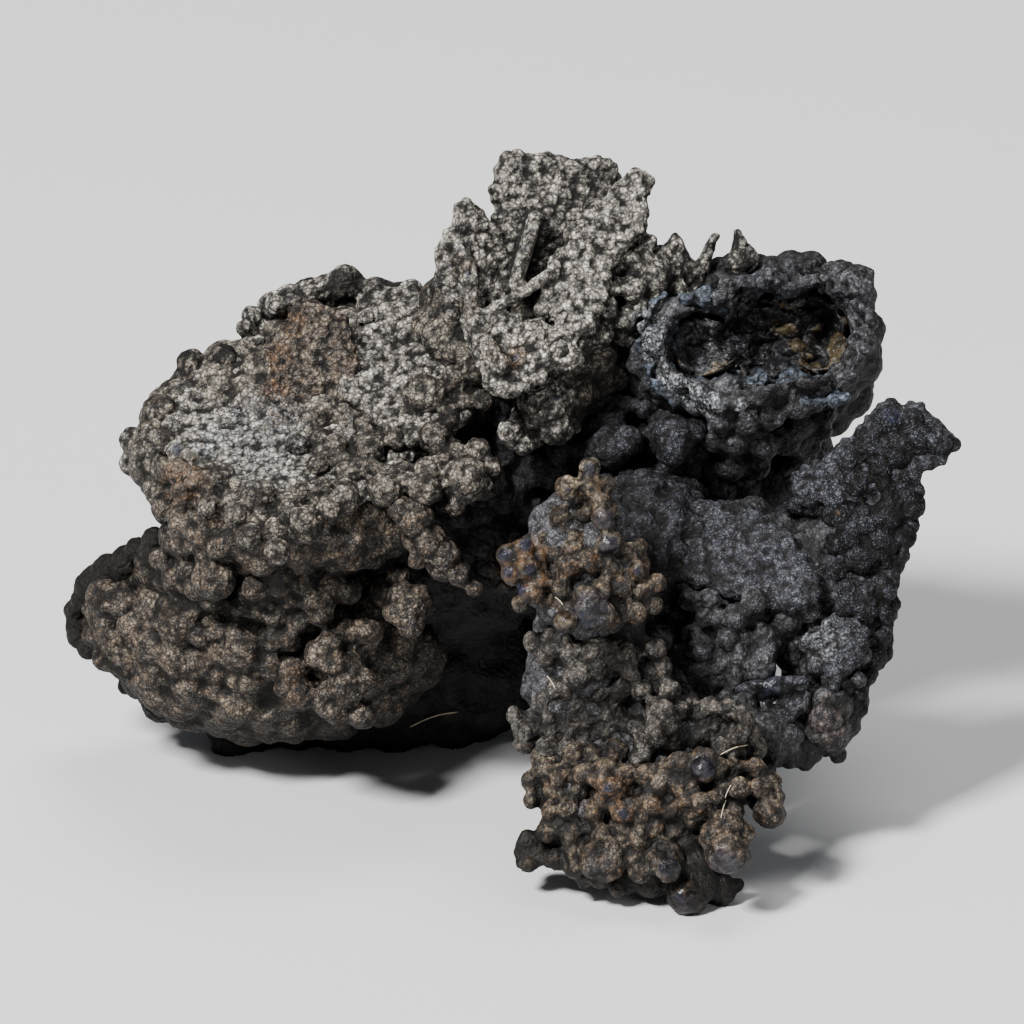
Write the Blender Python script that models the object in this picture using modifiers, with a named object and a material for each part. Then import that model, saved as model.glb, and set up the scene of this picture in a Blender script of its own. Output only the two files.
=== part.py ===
"""Wulfenite specimen: a crust of dark rounded beads grown over tabular crystals.

The whole crust is one piece, 89 mm across, cut flat underneath to rest on. A hollow at its upper right
holds a second piece, the thin drusy lining. Places are given face on, in millimetres: across to the
right, up, and back away from the face, all from the middle of the face. The specimen leans back from
its face when it rests, so the face-on places are turned by LEAN into metres with +Z up.
"""
import math
import random

import bmesh
import bpy
import numpy as np
from mathutils import Matrix, Vector

# Driving dimensions
MM = 0.001
LEAN = math.radians(22.0)
VIEW_DISTANCE = 1500.0
REST_POINT = (-0.43, 3.69, -32.6)
SEED = 7

# How finely the grown mass is made
FUSE_STEP = 0.8
FACE_BUDGET = 8000
BEAD_STEPS = 2
BODY_STEPS = 3

# Plates
BLADE_THICKNESS = 1.5

# The hollow and its lining
LINING_GAP = 0.35
LINING_THICKNESS = 1.0
LINING_STEPS = 2
DRUSE_DEPTH = 0.25

# Cutters and welds
CUTTER_SIZE = (200.0, 200.0, 40.0)
CUTTER_MIDDLE = (0.0, 0.0, -20.0)
MERGE_DISTANCE = 0.00001

# Beads on the side that faces away
BACK_BEADS_PER_AREA = 0.13
BACK_BEAD_RADIUS = (1.7, 2.9)
BACK_BEAD_LIMIT = -0.15
BACK_BEAD_SINK = 0.90
BACK_BEAD_FULL_SIZE = 7.0

# Colours
CRUST_COLOUR = (0.060, 0.055, 0.052)
CRUST_ROUGHNESS = 0.7
LINING_COLOUR = (0.16, 0.15, 0.14)
LINING_ROUGHNESS = 0.5

# Beads by place on the specimen: across, up, back and radius
SHELF_LUMPS = (
    (-32.1, 14.9, 8.2, 1.5), (-28.9, 15.2, 8.2, 1.7), (-30.8, 12.2, 5.5, 1.1), (-35.2, 10, 3.7, 1.9),
    (-36.2, 8.2, 2.2, 1.3), (-34.6, 7.1, 0.8, 1.2), (-33.6, 11.4, 5, 1.2), (-29.3, 3.5, -2.9, 1.7),
    (-25.4, 1.2, -5.4, 2.2), (-31.7, 3.2, -3, 1.5), (-33.4, 4.2, -2.2, 1.3), (-27.6, -0.3, -6.7, 1.4),
    (-26.2, -2.5, -8.8, 1.4), (-23.5, -4, -10.2, 1.4), (-23.7, -1.8, -8.4, 1.3), (-20.7, -1.3, -8.3, 2),
    (-16.7, 1.2, -6.2, 1.6), (-18.2, 0.4, -6.8, 1.4), (-20.9, 2, -5, 1.2), (-33, 2, -3.6, 1.2),
    (-30.4, 0.7, -5, 1.2), (-22.4, 0.2, -6.6, 1.3), (-19, 2.4, -5, 1.1), (-27.2, 2.5, -4, 1.2),
)
SKYLINE_LUMPS = (
    (-37.9, 7.2, 15, 1.4), (-37.9, 4.9, 15, 1.4), (-36.2, 2.4, 14, 1), (-25, 13.5, 6.3, 1.3),
    (-26.6, 18.4, 11, 1), (-25.4, 16.7, 9.6, 1), (-24.2, 15.4, 8.6, 0.9), (-26.6, 16, 10, 0.8),
    (-26, 19.6, 12.2, 1.1), (-23.7, 20.6, 13.2, 1.2), (-22.1, 21, 13.4, 1), (-20, 21.7, 13.8, 1.1),
    (-16.7, 22.8, 14.5, 2), (-18.6, 22.2, 14.2, 1.1), (-14, 22.2, 13.6, 1.2), (-12.2, 21.2, 12.5, 1.2),
    (-10.2, 22, 13.2, 1.4), (-8.4, 20.9, 12, 1.3), (-7.2, 19.4, 10.5, 1.2), (-16.2, 19, 10, 1),
    (-14.4, 19.4, 10, 1), (-12.4, 20, 9.8, 1.1), (-10.4, 20.2, 9.8, 1.2), (-8.7, 19.4, 9.2, 1.2),
)
MIDDLE_LUMPS = (
    (-12.4, 14.7, 6, 1.1), (-8.2, 17, 7.8, 1.4), (-10, 17.4, 8.8, 1.1), (-11.4, 11.9, 3.2, 1.2),
    (-8.7, 11.5, 1.4, 2.4), (-5.7, 13.2, 1.6, 1.6), (-3.4, 14.4, 1, 1.7), (-3, 11.2, 0.2, 1.1),
    (-4.7, 11, 0.8, 1), (-11.5, 7.2, -1, 1.2), (-7.6, 7.5, -1.4, 1.8), (-6.7, 5.2, -2.6, 1.2),
    (-3.4, 6.2, -2.4, 1.3), (-4.7, 3.2, -4.4, 2.4), (-14.2, 6.2, -1.8, 1.5), (-21.5, 6.7, -0.8, 1.3),
    (-17, 3.8, -3, 1), (-12.7, 2.2, -5.8, 1.8), (-10.7, 3, -5.4, 1.2), (-8.7, 2.2, -6.2, 1.7),
    (-8.4, 4.2, -4.4, 1.4), (-16.7, 2.2, -5, 1.2), (-19, 9.8, 2.4, 1.1), (-16.7, 10.1, 2.4, 1.2),
    (-14.4, 10.8, 2.8, 1), (-14.7, 8.7, 0.6, 1.1), (-10.2, 9.7, 0.4, 1.1), (-6, 16.7, 6.2, 1.2),
    (-4.2, 17.2, 5, 1.2), (-6.2, 9.7, -0.4, 1.2), (-2.2, 4.2, -3, 1.4), (-2.7, 2.2, -4, 1.2),
    (-5.7, 0.7, -4.4, 1.2), (-14, 4.2, -3.8, 1.2), (-19.4, 4.7, -2.4, 1.2), (-17.7, 6.7, -0.8, 1.2),
)
TONGUE_LUMPS = (
    (-9.7, -0.6, -5.6, 2), (-11.2, 0.4, -5.6, 1.4), (-8.2, -2.8, -5.2, 1.7), (-9.4, -4.8, -4.4, 1),
    (-6.6, -4.4, -4.8, 1.6), (-5.2, -6.2, -4.4, 1.3), (-3.8, -7.6, -4, 1),
)
CHEEK_LUMPS = (
    (-34.7, 0.7, 2, 1.4), (-33.4, -1.4, 1, 1), (-30.7, -3.3, 0, 1.4), (-28.2, -3.1, -0.8, 1.2),
    (-29.8, -6.6, 0.6, 2.3), (-30.4, -4.8, 0.4, 1.4), (-23.4, -6, 0, 1.8), (-25.7, -7.6, 0.6, 1.4),
    (-23.2, -7.3, 0.4, 1.3), (-32.7, -3.3, 2.2, 1.2), (-35.2, -4.8, 6, 1.2), (-34, -6.6, 5, 1.2),
    (-36.2, -6.3, 9, 1.2), (-31.7, -7.8, 3, 1.1), (-32.4, -5.8, 2.8, 1.2), (-35.7, -2.8, 10, 1.4),
    (-37.4, -3.8, 14, 1.4), (-39.2, -5, 16, 1.4), (-40.8, -6.2, 17.2, 1.3), (-42.4, -7.3, 18.6, 1.4),
    (-43, -8.8, 20, 1.2), (-43.6, -9.8, 21.2, 1), (-40.8, -8.5, 13, 1.9), (-38.8, -8.9, 12.5, 2),
    (-37, -9.4, 11.8, 1.5), (-43.2, -12.4, 21.2, 1.4), (-42.4, -13.6, 20.8, 1.2), (-44, -11.3, 21.6, 0.8),
    (-40.2, -10.5, 13.6, 1.4), (-38.1, -11.3, 13, 1.2), (-39.5, -13.3, 13.8, 1.7), (-38.6, -15, 14.2, 1.9),
    (-40.7, -14.6, 15, 1.4), (-36.6, -14, 12, 1.4), (-37.2, -12.3, 12, 1.2), (-33.2, -11, 7.6, 2.3),
    (-31.8, -9.9, 6.6, 1.1), (-34.6, -9.3, 8.6, 1.2), (-31.2, -12.4, 6.6, 1.2), (-33.2, -8.3, 7, 1.1),
    (-33.2, -15.1, 9.2, 1.7), (-30.7, -14.3, 9, 1.2), (-29.7, -15.6, 10, 1.2), (-26.9, -13.6, 5.4, 2.1),
    (-27.4, -12.4, 5.2, 1.5), (-29.5, -12, 6.2, 1), (-30, -8.6, 4, 1.4), (-26.2, -8, 3.4, 1.3),
    (-23.7, -10.1, 3.6, 1.5), (-27.2, -9.5, 4, 1.1), (-25.4, -9.8, 3.8, 1.1), (-22.2, -8.8, 2.2, 1.2),
    (-19.4, -8.6, 1.4, 2), (-18.2, -6.8, 1.4, 1.8), (-16.4, -7.8, 1.8, 1.5), (-20.8, -6.8, 1, 1.6),
    (-19.2, -10, 1.6, 1.5), (-17.7, -4.8, 0.4, 1.6), (-16.2, -3.8, 1.4, 1.6), (-19.7, -3.8, -1, 1.2),
    (-23.7, -12.8, 4.6, 1.4), (-22, -12.8, 3.6, 1.2), (-21.2, -11, 3, 1.2), (-17.2, -3.3, 2, 2),
    (-19.4, -14.3, 1.8, 1.6), (-18.2, -13, 1.6, 1.3), (-17.8, -15, 1.6, 1.5), (-16.6, -12, 2.6, 1.4),
    (-14, -12, 2.4, 1.3), (-15.5, -12, 2.4, 1.3), (-11, -8.6, 1.4, 1.5), (-9.4, -8.6, 1.2, 1.5),
    (-11.7, -10, 1.6, 1.3), (-10.2, -11.2, 1.2, 1.5), (-8.7, -9.6, 1.8, 1.1), (-10, -9.4, 0.8, 1.6),
    (-11.2, -6.3, 2.6, 1.3), (-12.7, -7.8, 4, 1.2), (-21.9, -16, 3.6, 1.5), (-21.2, -18.2, 3.8, 1.6),
    (-22.9, -17.6, 4.4, 1), (-24, -15, 5, 1), (-18.2, -18, 3, 1.3), (-16.7, -17.6, 2.6, 2),
    (-15, -16.8, 3, 1.4), (-16, -15, 2.4, 1.2), (-17.7, -20, 3.6, 1.3), (-15, -20.2, 4, 1.6),
    (-16.7, -16, 2.4, 1.2), (-18.7, -19.3, 3.4, 1.2),
)
UNDERSIDE_LUMPS = (
    (-35.2, -19.4, 23.2, 1.8), (-33.8, -20, 23, 1.4), (-36.4, -18.8, 23.5, 1), (-32.4, -19, 23, 1.2),
    (-38.6, -17.4, 22, 1), (-36.2, -17.8, 22.5, 1.3), (-34.2, -17.8, 22.5, 1.4), (-30.7, -18.8, 23.5, 1.4),
    (-28.2, -23.3, 26.8, 1.9), (-29.4, -21.8, 26.2, 1.3), (-27.2, -24, 26.8, 1.1), (-25.4, -23, 27, 1.2),
    (-29, -18.8, 24, 1.6), (-26.2, -20.3, 25, 1.8), (-30.7, -16.8, 20, 1.6), (-27.2, -17.8, 21.5, 1.8),
    (-23.2, -21.3, 26.2, 1.6), (-21.2, -22.6, 27.2, 1.4), (-18.2, -22.8, 28, 1.4),
    (-14.7, -22.6, 28.8, 1.4), (-12, -21.6, 29.6, 1.3), (-10, -21, 30, 1.2), (-8, -21.6, 30.6, 1.4),
    (-5.7, -20, 30.6, 1.3), (-3.4, -19.8, 31.2, 1.2), (-1.4, -19.4, 31.2, 1.2), (-0.4, -18.8, 30, 1),
)
HOLLOW_LUMPS = (
    (3.3, 10.7, 1.2, 2.8), (4.4, 8.4, 1, 1.8), (4.8, 11.4, 0.8, 1.6), (1.8, 11.2, 1.8, 1.8),
    (6, 11.2, 3, 1.2), (6.1, 8.7, 2.6, 1), (-0.2, 8, 1, 1.3), (1.2, 6.7, 1.6, 1.2), (0, 6.9, 1.2, 0.8),
    (10, 6.5, 3.8, 2.2), (11.5, 7, 3, 1.8), (8.3, 6.2, 4.4, 1.5), (16.3, 7.7, 3, 2.2), (16, 6.2, 2.6, 1.7),
    (18.1, 8.2, 3.4, 1.4), (13.3, 10.4, 6, 1.2), (11.8, 15, 7.6, 1.2), (9.6, 13.7, 7.4, 1.2),
    (7.8, 13.4, 7.2, 1.1), (6, 13.2, 7, 1.2), (4.3, 13.4, 6.6, 1.2), (13.3, 15, 8.4, 1.1),
    (12.1, 17.2, 8.8, 1), (12.8, 13.2, 7.8, 1), (14.3, 13, 7.6, 1.1), (8.3, 11.2, 6.6, 1.3),
    (10.2, 11.2, 6.6, 1), (8.8, 10, 6.2, 1), (10, 9.4, 6, 1.4), (8, 8.7, 6.2, 1.2), (11.6, 10.7, 6.4, 1),
    (13.3, 7.2, 5.6, 1.2), (15.6, 10.7, 6, 1), (12.8, 4.2, 6.4, 1.3), (14.3, 4.7, 6.6, 1.2),
    (10.8, 3.2, 7.8, 1.6), (13.3, 0.7, 8.4, 2), (9.8, 4.2, 7.4, 1.2), (15.8, 3.2, 7.8, 1.6),
    (17.8, 4.2, 7.6, 1.4), (18.8, 6.2, 6.6, 1.2), (4.8, 6.2, 7, 1.4), (6.3, 6.7, 6.6, 1.2),
    (7.8, 5.7, 6.4, 1.2), (2.3, 4.2, 8, 1.8), (4.3, 3.7, 8.4, 1.6), (-0.7, 5.7, 7, 1.4),
    (-1.7, 3.2, 6, 1.4), (-1.2, 1.2, 7.6, 1.6), (0.3, 2.2, 8.4, 1.6), (1.8, 0.2, 9.6, 1.6),
    (3.8, -0.8, 10, 1.8), (-1.7, -0.8, 9.6, 1.4), (-0.2, -2.3, 10, 1.4), (-2.7, -3.3, 8.4, 1.4),
    (-2.2, -5.3, 9, 1.4), (-0.7, -6.8, 10, 1.4), (0.8, 8.2, 5.6, 1.2), (6.3, 16.2, 6, 1.4),
    (7.8, 16.7, 6.6, 1.4), (9.3, 16.2, 7.6, 1.3), (8.8, 17.7, 6, 1.3), (10.3, 16.7, 8, 1.2),
    (-1.2, 9.7, 3, 1.2), (-0.7, 10.7, 4, 1), (-5.2, -0.3, 4, 1.4), (-6.7, 1.2, 2, 1.3),
)
CROWN_LUMPS = (
    (11.6, 25.5, 2, 1.5), (13.6, 26.9, 2.4, 1), (12.4, 28.5, 2.2, 1), (10, 22.7, 1, 1.2),
    (12, 22.4, 1.4, 1.4), (9.6, 20.4, 0.2, 1.1), (14, 23.7, 3, 2.1), (7.8, 18.7, -0.6, 1.1),
    (5.3, 18.2, -1.4, 1.1), (3.3, 20.2, -1.4, 1.2), (14.8, 25.7, 3.6, 1.1), (12.8, 20.7, 2.6, 1.3),
    (14.3, 21.2, 3.2, 1.2), (11, 19.4, 2, 1.4), (8.8, 17.7, 1.2, 1.4), (16, 24.4, 4.4, 1.4),
    (17.8, 24, 5.4, 1.3), (6.3, 17.2, -1, 1.2), (-5.7, 20.2, 3, 1.4), (-7.2, 22.2, 6, 1.3),
    (-4.2, 21.2, 4, 1.6), (-1.2, 18.2, 0, 2), (0.8, 16.7, -1, 1.8), (-2.2, 16.2, 0, 1.6),
    (-1.2, 13.4, -2, 1.6), (1.8, 15, -2, 1.6), (4.8, 16, -2.4, 1.3), (-3.2, 16.7, 1, 1.4),
    (11.3, 17.7, 4, 1.3), (16.3, 22.2, 4.4, 1.3), (14.8, 19.2, 4.4, 1.2), (17.8, 21.2, 5, 1.2),
    (13.3, 25, 2, 1.2),
)
VUG_LUMPS = (
    (20.8, 24.4, 8, 1.2), (22.3, 25, 8.4, 1.4), (24, 24.6, 8.4, 1.2), (26, 24.6, 8, 0.9),
    (27.8, 24.6, 7.8, 0.9), (29.8, 24.4, 7.2, 1), (32, 24, 6, 1.2), (33.4, 24.2, 5.6, 0.9),
    (34.6, 24, 5.6, 0.9), (35.4, 22.4, 5.4, 1), (34.8, 20.9, 5, 1), (34.6, 19.4, 4.6, 1),
    (34, 17.7, 4.2, 1.1), (33.6, 16, 4, 1.1), (32.8, 14.6, 3.8, 1), (34.8, 16.7, 5.4, 1.2),
    (32.3, 13.2, 5, 1), (15.6, 19.4, 3, 0.9), (15, 18, 2, 1), (14, 16.7, 1.2, 1.1), (15.6, 14.4, 0.4, 1),
    (16.8, 13.2, 0, 1), (18.8, 12, -0.4, 1.1), (20.6, 11, -0.8, 1.2), (22.6, 11.2, -0.8, 1.2),
    (24.5, 11.8, -0.8, 1.1), (25.8, 13, -0.6, 1.1), (27.6, 14, -0.2, 1.1), (29.4, 13.4, 0.4, 1.2),
    (30.8, 14, 1, 1.1), (31.6, 12.4, 3, 1), (18.8, 21.4, 4.4, 1), (19.8, 22.7, 6, 1.2),
    (17.8, 20, 3.4, 0.9), (21.3, 22.2, 7, 1.2), (23, 23.2, 7.2, 0.9),
)
UNDER_VUG_LUMPS = (
    (20.8, 9.2, 1.6, 1.4), (23.3, 9.2, 1.8, 1.6), (25.8, 9.7, 2, 1.6), (28.3, 10.7, 2.4, 1.5),
    (30.3, 11.2, 3, 1.3), (31.3, 9.7, 6, 1.1), (31, 8.2, 7.2, 1.1), (29.8, 6.7, 9, 1.2),
    (28.8, 5.7, 10.4, 1.1), (27.3, 4.7, 12, 1.2), (25.8, 4.4, 13, 1), (25.3, 3.2, 14, 1),
    (25.6, 2.2, 14.6, 0.9), (22.3, 7.2, 3.6, 1.6), (24.8, 6.7, 5, 1.8), (27.3, 7.2, 6, 1.7),
    (28.8, 8.7, 5.6, 1.4), (20, 7.2, 4.4, 1.4), (21.8, 4.7, 7.2, 1.7), (24.3, 4.7, 8.4, 1.6),
    (19.8, 4.2, 8, 1.4), (23.3, 2.7, 12, 1.6), (20.8, 2.2, 11, 1.6), (17.8, 1.7, 10, 1.6),
    (18.8, 0, 8, 1.4), (24.3, 1.2, 14, 1.4), (15.8, 0.2, 8.4, 1.4),
)
WING_LUMPS = (
    (37.8, 9.2, -1.8, 1.7), (40, 9.2, -2.2, 1.3), (42.3, 7.2, -2.4, 1.5), (43.3, 7.2, -2.2, 1),
    (35.8, 6.7, -1.2, 2), (38.3, 6.2, -2, 1.8), (33.8, 4.7, -0.6, 1.8), (31.8, 3.7, 0, 1.6),
    (30, 2.7, 0.4, 1.5), (28.8, 3.2, 0.6, 1), (36.8, 4.2, -1.6, 1.5), (34.6, 2.7, -1, 1.6),
    (32.3, 1.7, 0, 1.6), (30.3, 0.7, 1, 1.4), (28.6, 0.7, 1.6, 1.2), (40.6, 7.4, -2.4, 1.6),
    (39.3, 3.7, -1.6, 1), (37.3, 2.7, -1.6, 1.2), (39.8, 0.7, -1.4, 1.6), (37.8, 0.2, -1.8, 1.8),
    (35.6, -0.8, -1.8, 1.8), (33.8, -2.3, -1.8, 1.6), (32.3, -3.3, -1.2, 1.4), (39.3, -2.3, -1, 1.4),
    (36.8, -3.3, -1.6, 1.8), (34.8, -4.8, -1.6, 1.6), (32.6, -5.8, -0.6, 1.6), (37.8, -5, -1, 1.2),
    (37.3, -7.8, -2.4, 1.4), (35.6, -8.3, -2.8, 1.4), (33.6, -8, -3, 1.2), (37.3, -10, -1.8, 1.2),
    (35.3, -10, -3, 1.2), (33.3, -9.6, -3.2, 1.3), (36.8, -12.3, -1, 1.1), (36.4, -14.3, -0.8, 1.1),
    (35.8, -16.3, -1.2, 1), (34.8, -17.8, -2, 1), (31.8, -7.3, 0, 1.6), (26.8, -0.8, 3, 1.4),
    (29.8, -1.8, 2, 1.4), (27.8, 0.2, 3, 1.2),
)
FLANK_LUMPS = (
    (19.8, -8.8, -4.6, 1.2), (22.4, -10.5, -5.2, 1.4), (24.3, -8.8, -4.8, 1.4), (18.8, -13.6, -5.6, 1.5),
    (18, -12.2, -5.2, 1.1), (21.6, -12.8, -4.6, 1.3), (20.8, -10.8, -4.6, 1.1), (23.3, -12.8, -4.2, 1.2),
    (19.3, -10.6, -4.6, 1), (25.3, -12.8, -3.4, 1.8), (27.3, -11, -2.4, 1.8), (29.6, -9.8, -2.8, 1.3),
    (24.8, -15.6, -4.6, 1.8), (22.8, -14.8, -4.6, 1.3), (18.8, -9, -4, 1.1), (26.8, -8.8, -3.6, 1.3),
    (17.8, -8.8, -3, 1.2), (25.3, -14.3, -4.6, 1.4), (30.3, -15.6, -4, 1.1), (22.3, -16.8, -5, 1.2),
    (21.3, -18.8, -6, 1.1), (23.3, -19.1, -6, 1.2), (20.8, -15.6, -2, 1), (27.8, -14.8, -1, 1.4),
    (28.8, -12.8, -1.4, 1.4), (31.3, -18.8, -4.2, 1.4), (31.3, -20.8, -4.4, 1.8), (32, -22.6, -4, 1.7),
    (30.2, -22.3, -4, 1.4), (32.9, -21.6, -3.4, 1), (32.8, -18.8, -3.8, 1.2), (32.6, -24.3, -3, 0.9),
    (30, -24.3, -3.4, 1.1), (26.3, -24, -4.4, 1.6), (27.8, -23.3, -4.4, 1.7), (29.3, -25.2, -3.4, 0.8),
    (25.3, -22.3, -5, 1.6), (26.8, -21.3, -4.8, 1.3), (24.3, -20.8, -5.6, 1.2), (27.8, -24.6, -4, 1.2),
    (25.3, -25.8, -6, 1.2), (34.6, -16.8, -3.4, 0.9), (35, -14.3, -3, 1),
)
CLUSTER_LUMPS = (
    (7.7, 4.4, -15, 1.2), (5.6, 2.4, -15.5, 1.3), (9.6, 2.8, -14.8, 0.9), (7.8, 2.7, -15, 1.4),
    (9.1, -0.6, -16.2, 1.3), (8.8, 1, -15.2, 1.2), (9.9, -3.2, -15.8, 1.4), (12.5, -5.8, -15, 1),
    (14.4, -7.1, -13.8, 1), (14.1, -9.3, -13.2, 1), (7.4, -8.8, -16.2, 1.6), (8.8, -10.4, -16.2, 1.6),
    (8, -9.6, -16.4, 1.7), (10.1, -11, -15.2, 1.2), (12.4, -10, -15, 1.3), (5.5, -10.9, -14.5, 1.3),
    (1.4, -5.5, -15.2, 1.3), (-0.4, -4.4, -14.5, 1.2), (0, -6.2, -14.2, 1.2), (2.8, -6.6, -14.5, 1.2),
    (2, -8, -14.5, 1.3), (0.9, -9.2, -13.8, 0.9), (1, -3.6, -15, 1.2), (2.8, -4.8, -14.2, 1.1),
    (5.3, -1, -12.8, 1.9), (6.3, -2.3, -13.2, 1.6), (5.8, -5.4, -14.8, 1.6), (7.8, -4.8, -15, 1.4),
    (11, -7.6, -14.6, 1.3), (5.1, -7.4, -15, 1.2), (11.8, -4.4, -13.8, 1.4), (13.1, -8, -13.8, 1.2),
    (10, -5.6, -14.8, 1.3), (6.3, -3.8, -14, 1.4), (9.3, -7.8, -15, 1.3), (3.8, -8.8, -13, 1.2),
    (12.8, -3.6, -12.6, 1), (7.3, -0.3, -13.8, 1.2), (4.1, -4.3, -13.6, 1.2), (3.6, -2.8, -13, 1.2),
)
ARM_LUMPS = (
    (4.3, -12.8, -11, 1.7), (2.3, -13, -9.8, 1.2), (3.4, -14.3, -10, 1.2), (6.5, -16.3, -11.6, 1.5),
    (6, -14.3, -11, 1.4), (7.8, -13.8, -11.2, 1.6), (9.8, -13.3, -11.2, 1.4), (8.8, -15.6, -11.2, 1.4),
    (11.3, -14.3, -11.2, 1.5), (11.8, -16, -11.2, 1.3), (12.8, -17.8, -10.8, 1.2), (14.3, -13.8, -11, 1.3),
    (14.8, -15.6, -10, 1.3), (15.6, -17.8, -10.4, 1.2), (10.8, -17.8, -9.6, 1.4), (8.8, -18.3, -9, 1.6),
    (6.8, -19.3, -8.8, 1.4), (4.8, -17.8, -9.2, 1.5), (3.3, -19.3, -8.4, 1.4), (4.1, -21, -8.6, 1.6),
    (5.8, -21.6, -8.8, 1.5), (7.8, -21, -9, 1.4), (10, -20.3, -9, 1.6), (11.6, -21.3, -9.4, 1.2),
    (9.4, -22.3, -9.2, 1.3), (7.3, -23.3, -9.2, 1.2), (1.8, -21.6, -8, 1.3), (1.2, -23.2, -8, 1.1),
    (0.2, -20.2, -6.2, 0.9), (0.7, -21.5, -7, 0.8), (3.6, -23.6, -9.6, 1.2), (5.6, -23.8, -10, 1.2),
    (14.8, -20, -12.2, 1.7), (14.3, -22, -12.2, 1.7), (15.6, -21.3, -12, 1.4), (13.3, -23.3, -11.6, 1.3),
    (16, -23.3, -11.2, 1.2), (12.8, -24.6, -12, 1.2), (12.4, -21.6, -10.8, 1), (16.8, -20, -10, 1.1),
    (19, -20.8, -9.2, 1.2), (20.4, -21.6, -9.2, 1.1), (20, -19.6, -9.4, 1.2), (21.6, -19.8, -10.4, 1.2),
    (18.8, -22.3, -9.4, 1.2), (17.8, -23, -10, 1.2), (22.6, -22.6, -12.6, 0.9), (23.1, -21.6, -12.6, 0.9),
    (23.3, -20.3, -11.6, 1.1), (22.3, -24, -11.2, 1.2), (24.3, -23.6, -9.6, 1.3), (23.8, -21.8, -10.4, 1.2),
    (20.8, -23.6, -11.2, 1.2),
)
FOOT_LUMPS = (
    (19.1, -25.8, -15.2, 1.4), (19.1, -24.4, -13.8, 1.2), (16.8, -25.3, -13.6, 1.4),
    (15, -27.3, -13.2, 1.3), (16.8, -27.4, -13.6, 1.2), (13.8, -28.3, -13.4, 1.2),
    (13.3, -26.3, -12.6, 1.3), (15.3, -25.8, -13, 1.2), (18.1, -26.8, -13.8, 1.2), (20.8, -25.8, -13, 1.2),
    (22.3, -25.6, -12.2, 1.2), (24.3, -25.8, -11.8, 1.3), (25.8, -27, -11.6, 1.2),
    (19.1, -29.3, -14.6, 1.4), (20.2, -28.8, -14.2, 1.1), (17.8, -30.8, -13.8, 1),
    (22.6, -27.6, -14.2, 1.2), (24.9, -27.6, -13.6, 1.2), (20.8, -27.6, -14, 0.9), (22.4, -30, -13.6, 0.9),
    (25.7, -30, -13.2, 1.7), (26.4, -28.5, -12.6, 1.1), (21.5, -31.6, -16, 2), (21.5, -34, -16.4, 2.3),
    (20.1, -32.4, -15.8, 1.5), (23.1, -32.2, -15.6, 1.3), (23.2, -34.4, -15.2, 1),
    (17.5, -38.3, -11.6, 2.2), (18.8, -37.3, -11.2, 1.8), (21, -37.6, -9.8, 1.7), (22.4, -37.2, -9.4, 0.9),
    (21, -39, -9.6, 0.8), (15.5, -35.7, -14.4, 1.4), (14.6, -35, -13.8, 1.4), (16, -34.3, -13.2, 1.2),
    (12.8, -36, -13.2, 1.2), (12.2, -34.6, -13.2, 1.1), (14, -37.6, -11.2, 0.8), (9.6, -35.4, -13.2, 1.6),
    (8, -35.4, -12.8, 1.3), (10.3, -33.5, -13.4, 1.2), (7.8, -34, -12.8, 1.3), (6.3, -35.6, -11.2, 1.1),
    (10.6, -37.6, -11.2, 1), (7.2, -37, -10.6, 0.8), (8.8, -36.8, -11.8, 1), (5.8, -29.6, -11.8, 1.3),
    (3.8, -30, -11, 1.1), (3.4, -32, -10.6, 1.1), (4.8, -31.6, -11, 1), (5.8, -32.6, -11.2, 1),
    (6.3, -34, -11, 1.1), (1.5, -35, -9.2, 1.2), (1.6, -33, -9, 1.2), (0.8, -33.8, -9, 0.9),
    (2.6, -34.3, -9.2, 1.1), (4.4, -34.8, -9.8, 1.2), (10, -27.6, -14.2, 1.4), (9.3, -25.8, -13.2, 1.3),
    (11, -30, -14, 1.2), (8.6, -26.6, -13.2, 1.2), (12.1, -29.6, -13.8, 1.2), (8.4, -30, -13, 1.1),
    (7.3, -26.3, -12.6, 1.3), (9.3, -28.8, -13.6, 1.2), (11.3, -26.3, -13.2, 1.2), (6.3, -24.3, -11.2, 1.3),
    (8.3, -24.3, -11.4, 1.3), (10.3, -24, -11.4, 1.4), (3.3, -25.8, -9.8, 1.4), (2.1, -27, -9, 1.2),
    (2.2, -28.8, -9.2, 1.1), (4.8, -26.3, -11, 1.2), (6.8, -27.8, -11.8, 1.2), (4.3, -27.8, -10.4, 1.2),
    (3, -24.6, -9, 1.2), (12.8, -32.6, -13.4, 1.3), (14.3, -31.6, -13, 1.2), (15, -33, -12.8, 1.2),
    (11.3, -31.8, -13, 1.2), (8.8, -32.3, -12.8, 1.3), (6.8, -31.6, -11.6, 1.1), (14.3, -29.4, -14, 1.1),
    (16, -30, -14, 1.1), (12.8, -30.6, -13.4, 1.1), (17.3, -28.8, -14, 1), (17.8, -32.8, -12, 1.4),
    (18.8, -34.8, -11.6, 1.4), (16.3, -31.8, -12.4, 1.2), (17.8, -35.3, -11.6, 1.4),
)
LUMP_REGIONS = (
    SHELF_LUMPS, SKYLINE_LUMPS, MIDDLE_LUMPS, TONGUE_LUMPS, CHEEK_LUMPS,
    UNDERSIDE_LUMPS, HOLLOW_LUMPS, CROWN_LUMPS, VUG_LUMPS, UNDER_VUG_LUMPS,
    WING_LUMPS, FLANK_LUMPS, CLUSTER_LUMPS, ARM_LUMPS, FOOT_LUMPS,
)

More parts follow.
